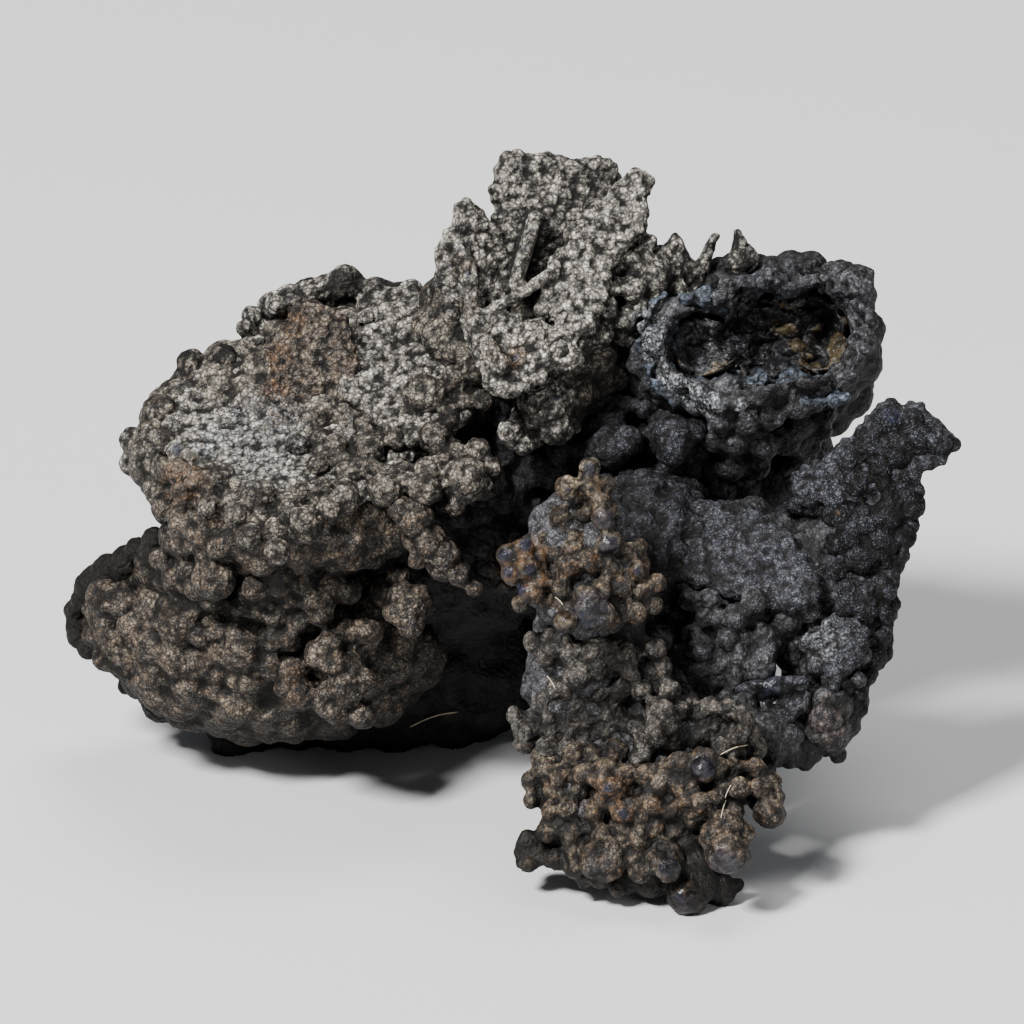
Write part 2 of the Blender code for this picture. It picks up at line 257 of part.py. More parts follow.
# Main masses: place of the middle, then half width, half height and half depth
MASSES = (
    (-21.0, 6.0, 11.0, 16.0, 10.5, 9.5),
    (-22.0, -1.0, 1.0, 12.0, 5.0, 6.0),
    (-15.0, 12.5, 16.0, 12.5, 7.5, 10.0),
    (-19.5, 15.0, 14.0, 8.0, 4.6, 6.5),
    (-8.0, 2.0, 19.5, 14.5, 14.5, 12.5),
    (12.0, 5.0, 22.5, 18.0, 17.5, 12.5),
    (1.0, 17.0, 9.0, 10.5, 8.5, 8.0),
    (24.0, 15.0, 14.5, 11.0, 8.5, 11.0),
    (25.0, 17.0, 9.0, 11.2, 7.0, 6.5),
    (22.5, 12.5, 5.5, 8.5, 3.6, 5.0),
    (16.0, 16.5, 6.0, 4.5, 5.5, 4.5),
    (33.5, 21.5, 7.0, 3.0, 3.0, 3.5),
    (20.0, 6.0, 21.0, 10.5, 8.5, 10.0),
    (-24.0, -11.5, 18.5, 16.5, 10.5, 12.0),
    (-36.5, -10.5, 20.0, 6.0, 5.5, 5.5),
    (-14.0, -14.0, 29.5, 18.0, 9.5, 8.0),
    (12.0, -17.0, 28.0, 5.5, 8.0, 6.0),
    (13.0, -4.5, 7.0, 9.0, 8.5, 10.0),
    (21.5, -7.0, 4.5, 10.5, 7.5, 6.0),
    (20.0, -15.5, -1.5, 5.0, 3.4, 4.0),
    (31.5, -12.0, 1.5, 5.0, 12.0, 3.5),
    (8.0, -16.5, -6.0, 6.5, 7.5, 4.0),
    (15.0, -23.0, -7.5, 5.0, 4.0, 3.5),
    (24.5, -22.5, -4.0, 5.0, 3.2, 3.2),
    (12.5, -29.5, -8.5, 9.0, 7.6, 4.2),
    (7.0, -5.0, -11.5, 6.0, 7.5, 3.2),
    (8.0, -10.0, -4.0, 5.0, 5.0, 7.0),
)

# Blades, face on: a point that the blade passes through, how far it runs back for each millimetre
# across and up, and its outline
BLADES = (
    ((4.0, 30.0, 4.0), (0.25, 0.30), (
        (-0.4, 35.4), (2.8, 35.5), (6.8, 34.7), (9.6, 35.1), (10.5, 33.4), (10.0, 31.2), (8.8, 27.7),
        (4.8, 24.5), (0.8, 22.2), (-1.5, 24.0), (-1.5, 27.7), (-1.2, 30.5), (-1.9, 32.5))),
    ((-4.5, 25.5, -0.5), (0.45, 0.10), (
        (-4.5, 30.9), (-5.5, 29.9), (-5.4, 28.4), (-6.6, 27.5), (-7.2, 25.7), (-7.4, 23.7), (-6.0, 21.2),
        (-2.5, 19.0), (-0.2, 21.7), (-0.7, 26.2), (-1.2, 27.2), (-2.2, 28.2), (-3.4, 29.9))),
    ((8.0, 26.0, 0.0), (0.10, 0.22), (
        (4.5, 25.0), (5.6, 26.7), (6.0, 28.0), (7.6, 29.4), (10.8, 32.5), (12.5, 34.1), (13.5, 33.2),
        (13.0, 31.4), (13.3, 28.4), (10.8, 26.7), (9.3, 24.0), (9.1, 21.5), (7.8, 18.7), (5.8, 17.5),
        (3.3, 20.5), (3.3, 22.7))),
    ((0.0, 16.0, -3.2), (0.15, 0.25), (
        (-3.4, 19.2), (-1.2, 19.7), (4.8, 17.7), (5.8, 16.7), (6.8, 15.4), (5.8, 14.5), (3.6, 15.0),
        (2.6, 13.0), (0.8, 12.2), (-1.2, 11.9), (-2.2, 12.7), (-3.4, 16.2), (-4.6, 18.6))),
    ((-20.0, 13.0, 2.6), (0.10, 0.15), (
        (-21.2, 20.4), (-22.2, 18.2), (-23.7, 14.7), (-23.5, 12.7), (-24.2, 11.9), (-23.2, 10.7),
        (-21.2, 8.0), (-17.2, 8.0), (-15.4, 12.2), (-16.0, 15.2), (-16.7, 19.0), (-19.2, 20.6))),
    ((22.0, -4.0, -1.5), (-0.10, 0.45), (
        (14.8, -2.3), (16.5, -0.5), (18.8, 0.7), (23.5, 0.4), (27.3, -2.3), (30.6, -7.7), (29.1, -9.8),
        (25.6, -9.1), (21.3, -7.8), (17.5, -7.0), (15.3, -4.8))),
    ((32.0, -14.0, -3.6), (-0.10, 0.20), (
        (29.3, -13.1), (33.0, -10.4), (35.4, -11.8), (34.6, -14.8), (32.0, -17.5), (30.3, -15.3))),
    ((27.0, -19.5, -5.0), (0.00, 0.50), (
        (24.0, -18.2), (29.3, -17.8), (29.3, -19.3), (28.3, -20.4), (26.8, -20.9), (25.3, -20.2))),
    ((35.0, -6.0, -1.0), (0.00, 0.00), (
        (39.9, 4.1), (40.8, 2.1), (39.8, -2.3), (38.1, -6.7), (38.4, -7.7), (37.7, -11.1), (36.1, -15.8),
        (34.0, -18.2), (32.3, -14.8), (30.8, -8.8), (31.0, -4.3), (32.8, -1.8), (35.8, 0.7), (38.3, 2.7))),
    ((36.0, 6.0, -1.2), (-0.10, 0.00), (
        (28.5, 3.7), (31.8, 5.2), (33.8, 7.2), (35.6, 8.7), (37.6, 10.9), (40.8, 10.2), (44.2, 6.8),
        (42.5, 5.1), (38.8, 2.8), (36.8, 2.5), (33.8, 1.0), (28.8, 1.2))),
)

# The blade seen edge on: its middle, its width, height and depth, and how far it tips sideways
EDGE_BLADE_MIDDLE = (1.3, 26.0, 0.0)
EDGE_BLADE_SIZE = (1.4, 8.5, 6.5)
EDGE_BLADE_TIP = math.radians(-16.0)

# Rods and spikes: across, up, back and radius of each bead that they run through
RODS = (
    ((-2.5, 20.0, -3.0, 0.6), (1.3, 22.0, -3.0, 0.6), (4.5, 24.4, -1.5, 0.6)),
    ((-5.1, 26.2, -1.5, 0.8), (-4.3, 23.9, -2.0, 0.9), (-4.2, 19.2, -3.0, 1.0), (-1.2, 14.7, -4.6, 1.1)),
    ((16.4, 27.7, 5.5, 0.4), (16.2, 25.0, 5.5, 1.8)),
    ((20.4, 27.6, 6.5, 0.5), (19.1, 25.0, 6.0, 0.7), (18.7, 23.0, 5.5, 0.9)),
    ((22.5, 28.0, 7.0, 0.4), (23.2, 25.0, 7.5, 1.6)),
    ((22.9, -17.9, -5.4, 0.5), (26.5, -17.4, -5.6, 0.7), (29.0, -17.2, -5.0, 0.5)),
    ((32.0, -17.5, -4.2, 0.7), (35.4, -12.0, -3.6, 0.6)),
)

# The hollow: rounded pockets that run into each other
POCKETS = (
    (19.0, 16.6, 5.0, 4.4, 4.2, 5.5),
    (25.5, 17.4, 5.5, 6.8, 5.4, 6.5),
    (30.6, 17.8, 6.0, 4.4, 5.2, 6.0),
)
LINING_RIM = (24.0, 17.5, 3.4)
LINING_RIM_TILT = (0.15, 0.60)


def clear_scene():
    """Start from an empty scene."""
    for item in list(bpy.data.objects):
        bpy.data.objects.remove(item, do_unlink=True)


def make_collection(name):
    """A new collection, linked to the scene."""
    collection = bpy.data.collections.new(name)
    bpy.context.scene.collection.children.link(collection)
    return collection


def make_material(name, colour, roughness, metallic):
    """A Principled material of one colour."""
    material = bpy.data.materials.new(name)
    material.use_nodes = True
    shader = material.node_tree.nodes["Principled BSDF"]
    shader.inputs["Base Color"].default_value = (*colour, 1.0)
    shader.inputs["Roughness"].default_value = roughness
    shader.inputs["Metallic"].default_value = metallic
    return material


def face_on_matrix():
    """The turn from face-on axes (across, up, back) in millimetres to metres with +Z up."""
    turn = Matrix((
        (1.0, 0.0, 0.0, 0.0),
        (0.0, math.sin(LEAN), math.cos(LEAN), 0.0),
        (0.0, math.cos(LEAN), -math.sin(LEAN), 0.0),
        (0.0, 0.0, 0.0, 1.0),
    ))
    return Matrix.Scale(MM, 4) @ turn


def face_on(points):
    """Face-on places in millimetres, one row each, as places in metres.

    The face is drawn as it is seen from VIEW_DISTANCE, so what lies further back is spread to match.
    """
    points = np.array(points, dtype=float).reshape(-1, 3)
    spread = 1.0 + points[:, 2:3] / VIEW_DISTANCE
    drawn = np.hstack((points[:, :2] * spread, points[:, 2:3]))
    matrix = np.array(face_on_matrix())
    return drawn @ matrix[:3, :3].T + matrix[:3, 3]


def round_body(steps):
    """Corners and faces of a unit ball made of triangles."""
    ball = bmesh.new()
    bmesh.ops.create_icosphere(ball, subdivisions=steps, radius=1.0)
    corners = np.array([corner.co for corner in ball.verts])
    faces = np.array([[corner.index for corner in face.verts] for face in ball.faces])
    ball.free()
    return corners, faces


def lay_mesh(mesh, matrix):
    """Move a mesh by a matrix, and turn its faces outwards again where the matrix mirrors it."""
    mesh.transform(matrix)
    if matrix.determinant() < 0.0:
        mesh.flip_normals()


def mesh_from_arrays(name, corners, faces):
    """A mesh of these corners and faces."""
    mesh = bpy.data.meshes.new(name)
    mesh.from_pydata(corners.tolist(), [], faces.tolist())
    mesh.update()
    return mesh


def add_object(name, mesh, collection):
    """A mesh as an object in a collection."""
    item = bpy.data.objects.new(name, mesh)
    collection.objects.link(item)
    return item


def rounded_bodies(name, bodies, steps, collection):
    """One object of many balls, each stretched to its half width, half height and half depth."""
    ball, faces = round_body(steps)
    bodies = np.array(bodies, dtype=float)
    corners = bodies[:, None, :3] + ball[None, :, :] * bodies[:, None, 3:]
    all_faces = faces[None, :, :] + (np.arange(len(bodies)) * len(ball))[:, None, None]
    mesh = mesh_from_arrays(name, face_on(corners.reshape(-1, 3)), all_faces.reshape(-1, 3)[:, ::-1])
    return add_object(name, mesh, collection)


def beads(lumps):
    """Beads (place and radius) as rounded bodies (place and three equal half sizes)."""
    return [(*lump[:3], lump[3], lump[3], lump[3]) for lump in lumps]


def rod_beads(knots):
    """Beads strung half a radius apart between the knots of a rod, changing radius evenly."""
    strung = []
    for start, end in zip(knots, knots[1:]):
        start, end = np.array(start), np.array(end)
        length = np.linalg.norm(end[:3] - start[:3])
        count = max(2, int(length / (0.5 * min(start[3], end[3]))))
        strung += [tuple(start + (end - start) * step / count) for step in range(count + 1)]
    return strung


def back_beads(generator):
    """Beads over the side of each main mass that faces away, in the even spiral of a seed head."""
    strung = []
    turn = math.pi * (3.0 - math.sqrt(5.0))
    for across, up, back, wide, high, deep in MASSES:
        count = int(BACK_BEADS_PER_AREA * (wide * high + high * deep + wide * deep))
        for index in range(count):
            level = 1.0 - 2.0 * (index + 0.5) / count
            ring = math.sqrt(1.0 - level * level)
            side, height, depth = ring * math.cos(turn * index), level, ring * math.sin(turn * index)
            fullness = min(1.0, min(wide, high, deep) / BACK_BEAD_FULL_SIZE)
            radius = generator.uniform(*BACK_BEAD_RADIUS) * fullness
            if depth > BACK_BEAD_LIMIT:
                place = BACK_BEAD_SINK * np.array((wide * side, high * height, deep * depth))
                strung.append((across + place[0], up + place[1], back + place[2], radius))
    return strung


def blade(name, through, slope, outline, collection):
    """A flat crystal: its outline, seen face on, laid on its own sloping plane."""
    curve = bpy.data.curves.new(name, "CURVE")
    curve.dimensions = "2D"
    curve.fill_mode = "BOTH"
    curve.extrude = BLADE_THICKNESS / 2.0
    spline = curve.splines.new("POLY")
    spline.points.add(len(outline) - 1)
    for point, (across, up) in zip(spline.points, outline):
        point.co = (across - through[0], up - through[1], 0.0, 1.0)
    spline.use_cyclic_u = True
    flat = bpy.data.objects.new(name, curve)
    collection.objects.link(flat)

    plane = Matrix.Identity(4)
    plane.col[0] = (1.0, 0.0, slope[0], 0.0)
    plane.col[1] = (0.0, 1.0, slope[1], 0.0)
    plane.col[2] = (*Vector((-slope[0], -slope[1], 1.0)).normalized(), 0.0)
    plane.col[3] = (*through, 1.0)
    mesh = bpy.data.meshes.new_from_object(flat)
    bpy.data.objects.remove(flat, do_unlink=True)
    bpy.data.curves.remove(curve)
    lay_mesh(mesh, face_on_matrix() @ plane)
    welded = bmesh.new()
    welded.from_mesh(mesh)
    bmesh.ops.remove_doubles(welded, verts=welded.verts, dist=MERGE_DISTANCE)
    bmesh.ops.recalc_face_normals(welded, faces=welded.faces)
    welded.to_mesh(mesh)
    welded.free()
    return add_object(name, mesh, collection)


def edge_blade(collection):
    """The flat crystal that stands with its edge to the viewer."""
    block = bmesh.new()
    bmesh.ops.create_cube(block, size=1.0)
    bmesh.ops.scale(block, vec=EDGE_BLADE_SIZE, verts=block.verts)
    mesh = bpy.data.meshes.new("edge_blade")
    block.to_mesh(mesh)
    block.free()
    place = Matrix.Translation(EDGE_BLADE_MIDDLE) @ Matrix.Rotation(EDGE_BLADE_TIP, 4, "Z")
    lay_mesh(mesh, face_on_matrix() @ place)
    return add_object("edge_blade", mesh, collection)


def joined_mesh(name, items):
    """The meshes of several objects as one mesh; the objects are removed."""
    joined = bmesh.new()
    for item in items:
        joined.from_mesh(item.data)
        bpy.data.objects.remove(item, do_unlink=True)
    mesh = bpy.data.meshes.new(name)
    joined.to_mesh(mesh)
    joined.free()
    return mesh


def evaluated_mesh(item):
    """The mesh of an object after its modifiers; the object is removed."""
    mesh = bpy.data.meshes.new_from_object(item.evaluated_get(bpy.context.evaluated_depsgraph_get()))
    bpy.data.objects.remove(item, do_unlink=True)
    return mesh


def keep_outer_body(mesh):
    """Remove every shell but the largest: loose beads and sealed spaces between beads."""
    whole = bmesh.new()
    whole.from_mesh(mesh)
    unseen = set(whole.verts)
    shells = []
    while unseen:
        front = [unseen.pop()]
        shell = set(front)
        while front:
            corner = front.pop()
            for edge in corner.link_edges:
                other = edge.other_vert(corner)
                if other in unseen:
                    unseen.remove(other)
                    shell.add(other)
                    front.append(other)
        shells.append(shell)
    largest = max(shells, key=len)
    spare = [corner for corner in whole.verts if corner not in largest]
    bmesh.ops.delete(whole, geom=spare, context="VERTS")
    whole.to_mesh(mesh)
    whole.free()


def fuse(name, items, step, faces, collection):
    """Objects that overlap, grown together in one skin and thinned to a number of triangles."""
    item = add_object(name, joined_mesh(name, items), collection)
    skin = item.modifiers.new("fuse", "REMESH")
    skin.mode = "VOXEL"
    skin.voxel_size = step * MM
    mesh = evaluated_mesh(item)
    keep_outer_body(mesh)
    fused = add_object(name, mesh, collection)
    thin = fused.modifiers.new("thin", "DECIMATE")
    thin.use_collapse_triangulate = True
    thin.ratio = min(1.0, faces / (2.0 * len(mesh.polygons)))
    return fused


def roughen(mesh, generator):
    """Draw each corner of a closed shape in by its own small amount, for crystal faces."""
    middle = sum((corner.co for corner in mesh.vertices), Vector()) / len(mesh.vertices)
    for corner in mesh.vertices:
        corner.co += (middle - corner.co).normalized() * generator.uniform(0.0, DRUSE_DEPTH * MM)


def settle(item):
    """Move an object from its drawn place to where the specimen rests."""
    item.location = -Vector(REST_POINT) * MM


def cut(item, cutter):
    """Cut one object's shape away from another."""
    cutter.hide_render = True
    cutter.display_type = "WIRE"
    boolean = item.modifiers.new("cut_" + cutter.name, "BOOLEAN")
    boolean.operation = "DIFFERENCE"
    boolean.solver = "EXACT"
    boolean.object = cutter


def union_of_pockets(name, inset, collection, generator=None):
    """The hollow's shape, drawn in by a distance all over, and roughened where a generator is given."""
    shapes = []
    for across, up, back, wide, high, deep in POCKETS:
        body = (across, up, back, wide - inset, high - inset, deep - inset)
        shape = rounded_bodies(name, [body], LINING_STEPS, collection)
        if generator is not None:
            roughen(shape.data, generator)
        shapes.append(shape)
    whole = shapes[0]
    for index, shape in enumerate(shapes[1:]):
        boolean = whole.modifiers.new("join_%d" % index, "BOOLEAN")
        boolean.operation = "UNION"
        boolean.solver = "EXACT"
        boolean.object = shape
    mesh = bpy.data.meshes.new_from_object(whole.evaluated_get(bpy.context.evaluated_depsgraph_get()))
    for shape in shapes:
        bpy.data.objects.remove(shape, do_unlink=True)
    return add_object(name, mesh, collection)


def box_cutter(name, middle, size, matrix, collection):
    """A box of this size about its middle, placed by a matrix."""
    block = bmesh.new()
    bmesh.ops.create_cube(block, size=1.0)
    bmesh.ops.scale(block, vec=size, verts=block.verts)
    bmesh.ops.translate(block, vec=middle, verts=block.verts)
    mesh = bpy.data.meshes.new(name)
    block.to_mesh(mesh)
    block.free()
    lay_mesh(mesh, matrix)
    return add_object(name, mesh, collection)


def botryoidal_mass(parts, cutters):
    """The crust: masses, beads, rods and blades grown together, cut flat below, with its hollow."""
    generator = random.Random(SEED)
    lumps = [lump for region in LUMP_REGIONS for lump in region]
    for knots in RODS:
        lumps += rod_beads(knots)
    lumps += back_beads(generator)
    pieces = [
        rounded_bodies("masses", MASSES, BODY_STEPS, parts),
        rounded_bodies("beads", beads(lumps), BEAD_STEPS, parts),
        edge_blade(parts),
    ]
    for index, (through, slope, outline) in enumerate(BLADES):
        pieces.append(blade("blade_%d" % index, through, slope, outline, parts))
    mass = fuse("botryoidal_mass", pieces, FUSE_STEP, FACE_BUDGET, parts)
    hollow = union_of_pockets("hollow", 0.0, cutters)
    settle(mass)
    settle(hollow)
    cut(mass, hollow)
    ground = box_cutter("ground", CUTTER_MIDDLE, CUTTER_SIZE, Matrix.Scale(MM, 4), cutters)
    cut(mass, ground)
    mass.data.materials.append(make_material("dark_crust", CRUST_COLOUR, CRUST_ROUGHNESS, 0.1))
    return mass


def vug_lining(parts, cutters):
    """The thin drusy crust inside the hollow, open to the front like a bowl."""
    generator = random.Random(SEED)
    lining = union_of_pockets("vug_lining", LINING_GAP, parts)
    inner = union_of_pockets("lining_inside", LINING_GAP + LINING_THICKNESS, cutters, generator)
    cut(lining, inner)
    slope = Matrix.Identity(4)
    slope.col[0] = (1.0, 0.0, LINING_RIM_TILT[0], 0.0)
    slope.col[1] = (0.0, 1.0, LINING_RIM_TILT[1], 0.0)
    slope.col[3] = (*LINING_RIM, 1.0)
    front = box_cutter("lining_front", CUTTER_MIDDLE, CUTTER_SIZE, face_on_matrix() @ slope, cutters)
    cut(lining, front)
    for item in (lining, inner, front):
        settle(item)
    lining.data.materials.append(make_material("drusy_lining", LINING_COLOUR, LINING_ROUGHNESS, 0.0))
    return lining


def main():
    """Build the crust and the lining of its hollow."""
    clear_scene()
    parts = make_collection("wulfenite_specimen")
    cutters = make_collection("cutters")
    botryoidal_mass(parts, cutters)
    vug_lining(parts, cutters)


main()
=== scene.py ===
"""Wulfenite specimen: dark beaded crust over upright plates, with an open drusy hollow.

Shapes are numpy surfaces in millimetres. Places are given face on: across to the right, up, and back
away from the face, all from the middle of the face, as the solid model's are.
"""
import logging
import math
from dataclasses import dataclass, field
from enum import Enum
from itertools import product

import bpy
import numpy as np
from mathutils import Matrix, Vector
from mathutils.bvhtree import BVHTree


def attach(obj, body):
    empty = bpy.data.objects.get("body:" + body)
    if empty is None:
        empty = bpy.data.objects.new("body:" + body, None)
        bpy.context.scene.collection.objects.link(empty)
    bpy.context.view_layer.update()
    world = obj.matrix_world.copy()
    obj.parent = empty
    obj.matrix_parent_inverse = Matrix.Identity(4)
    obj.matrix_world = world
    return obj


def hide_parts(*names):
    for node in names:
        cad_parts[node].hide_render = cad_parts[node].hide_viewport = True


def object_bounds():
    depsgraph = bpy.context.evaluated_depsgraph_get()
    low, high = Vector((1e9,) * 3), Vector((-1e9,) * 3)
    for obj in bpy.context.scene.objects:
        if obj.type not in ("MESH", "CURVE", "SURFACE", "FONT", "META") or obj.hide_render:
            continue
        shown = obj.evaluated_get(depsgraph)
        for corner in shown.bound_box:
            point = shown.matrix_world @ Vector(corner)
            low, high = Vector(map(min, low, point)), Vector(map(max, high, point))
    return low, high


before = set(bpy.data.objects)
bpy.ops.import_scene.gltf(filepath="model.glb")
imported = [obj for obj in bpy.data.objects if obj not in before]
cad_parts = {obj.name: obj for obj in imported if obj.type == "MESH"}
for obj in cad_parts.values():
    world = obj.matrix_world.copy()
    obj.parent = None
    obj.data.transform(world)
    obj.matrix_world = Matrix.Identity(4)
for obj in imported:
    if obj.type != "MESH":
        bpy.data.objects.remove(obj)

CAD_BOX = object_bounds()
LOG = logging.getLogger("specimen")

# Driving dimensions
MM = 0.001
LEAN = math.radians(22.0)
VIEW_DISTANCE = 1500.0
REST_POINT = (-0.43, 3.69, -32.6)
FRAME_WIDTH = 102.4
SENSOR_WIDTH = 36.0
SEED = 7
BLADE_THICKNESS = 1.5
BALL_RINGS = 12
BALL_SIDES = 20
SMALL_BALL_RINGS = 8
SMALL_BALL_SIDES = 12
BACKING_NEIGHBOURS = 4
BACKING_SET = 2.0
BACKING_SHARE = 0.52
BACKING_LIMIT = 2.1
PLATE_STEP = 0.5
PLATE_RAG = 0.16
RIM_BEAD_RADIUS = (0.55, 0.85)
CRUMB_VOLUME = 0.05
DOME_RADIUS = 0.8
CELL_PRIMES = (73856093, 19349663, 83492791)
SEED_PRIME = 2654435761

Lump = tuple[float, float, float, float]
Mass = tuple[float, float, float, float, float, float]
Plate = tuple[tuple[float, float, float], tuple[float, float], tuple[tuple[float, float], ...]]

# Beads by place on the specimen: across, up, back and radius
SHELF_LUMPS = (
    (-32.1, 14.9, 8.2, 1.5), (-28.9, 15.2, 8.2, 1.7), (-30.8, 12.2, 5.5, 1.1), (-35.2, 10, 3.7, 1.9),
    (-36.2, 8.2, 2.2, 1.3), (-34.6, 7.1, 0.8, 1.2), (-33.6, 11.4, 5, 1.2), (-29.3, 3.5, -2.9, 1.7),
    (-25.4, 1.2, -5.4, 2.2), (-31.7, 3.2, -3, 1.5), (-33.4, 4.2, -2.2, 1.3), (-27.6, -0.3, -6.7, 1.4),
    (-26.2, -2.5, -8.8, 1.4), (-23.5, -4, -10.2, 1.4), (-23.7, -1.8, -8.4, 1.3), (-20.7, -1.3, -8.3, 2),
    (-16.7, 1.2, -6.2, 1.6), (-18.2, 0.4, -6.8, 1.4), (-20.9, 2, -5, 1.2), (-33, 2, -3.6, 1.2),
    (-30.4, 0.7, -5, 1.2), (-22.4, 0.2, -6.6, 1.3), (-19, 2.4, -5, 1.1), (-27.2, 2.5, -4, 1.2),
)
SKYLINE_LUMPS = (
    (-37.9, 7.2, 15, 1.4), (-37.9, 4.9, 15, 1.4), (-36.2, 2.4, 14, 1), (-25, 13.5, 6.3, 1.3),
    (-26.6, 18.4, 11, 1), (-25.4, 16.7, 9.6, 1), (-24.2, 15.4, 8.6, 0.9), (-26.6, 16, 10, 0.8),
    (-26, 19.6, 12.2, 1.1), (-23.7, 20.6, 13.2, 1.2), (-22.1, 21, 13.4, 1), (-20, 21.7, 13.8, 1.1),
    (-16.7, 22.8, 14.5, 2), (-18.6, 22.2, 14.2, 1.1), (-14, 22.2, 13.6, 1.2), (-12.2, 21.2, 12.5, 1.2),
    (-10.2, 22, 13.2, 1.4), (-8.4, 20.9, 12, 1.3), (-7.2, 19.4, 10.5, 1.2), (-16.2, 19, 10, 1),
    (-14.4, 19.4, 10, 1), (-12.4, 20, 9.8, 1.1), (-10.4, 20.2, 9.8, 1.2), (-8.7, 19.4, 9.2, 1.2),
)
MIDDLE_LUMPS = (
    (-12.4, 14.7, 6, 1.1), (-8.2, 17, 7.8, 1.4), (-10, 17.4, 8.8, 1.1), (-11.4, 11.9, 3.2, 1.2),
    (-8.7, 11.5, 1.4, 2.4), (-5.7, 13.2, 1.6, 1.6), (-3.4, 14.4, 1, 1.7), (-3, 11.2, 0.2, 1.1),
    (-4.7, 11, 0.8, 1), (-11.5, 7.2, -1, 1.2), (-7.6, 7.5, -1.4, 1.8), (-6.7, 5.2, -2.6, 1.2),
    (-3.4, 6.2, -2.4, 1.3), (-4.7, 3.2, -4.4, 2.4), (-14.2, 6.2, -1.8, 1.5), (-21.5, 6.7, -0.8, 1.3),
    (-17, 3.8, -3, 1), (-12.7, 2.2, -5.8, 1.8), (-10.7, 3, -5.4, 1.2), (-8.7, 2.2, -6.2, 1.7),
    (-8.4, 4.2, -4.4, 1.4), (-16.7, 2.2, -5, 1.2), (-19, 9.8, 2.4, 1.1), (-16.7, 10.1, 2.4, 1.2),
    (-14.4, 10.8, 2.8, 1), (-14.7, 8.7, 0.6, 1.1), (-10.2, 9.7, 0.4, 1.1), (-6, 16.7, 6.2, 1.2),
    (-4.2, 17.2, 5, 1.2), (-6.2, 9.7, -0.4, 1.2), (-2.2, 4.2, -3, 1.4), (-2.7, 2.2, -4, 1.2),
    (-5.7, 0.7, -4.4, 1.2), (-14, 4.2, -3.8, 1.2), (-19.4, 4.7, -2.4, 1.2), (-17.7, 6.7, -0.8, 1.2),
)
TONGUE_LUMPS = (
    (-9.7, -0.6, -5.6, 2), (-11.2, 0.4, -5.6, 1.4), (-8.2, -2.8, -5.2, 1.7), (-9.4, -4.8, -4.4, 1),
    (-6.6, -4.4, -4.8, 1.6), (-5.2, -6.2, -4.4, 1.3), (-3.8, -7.6, -4, 1),
)
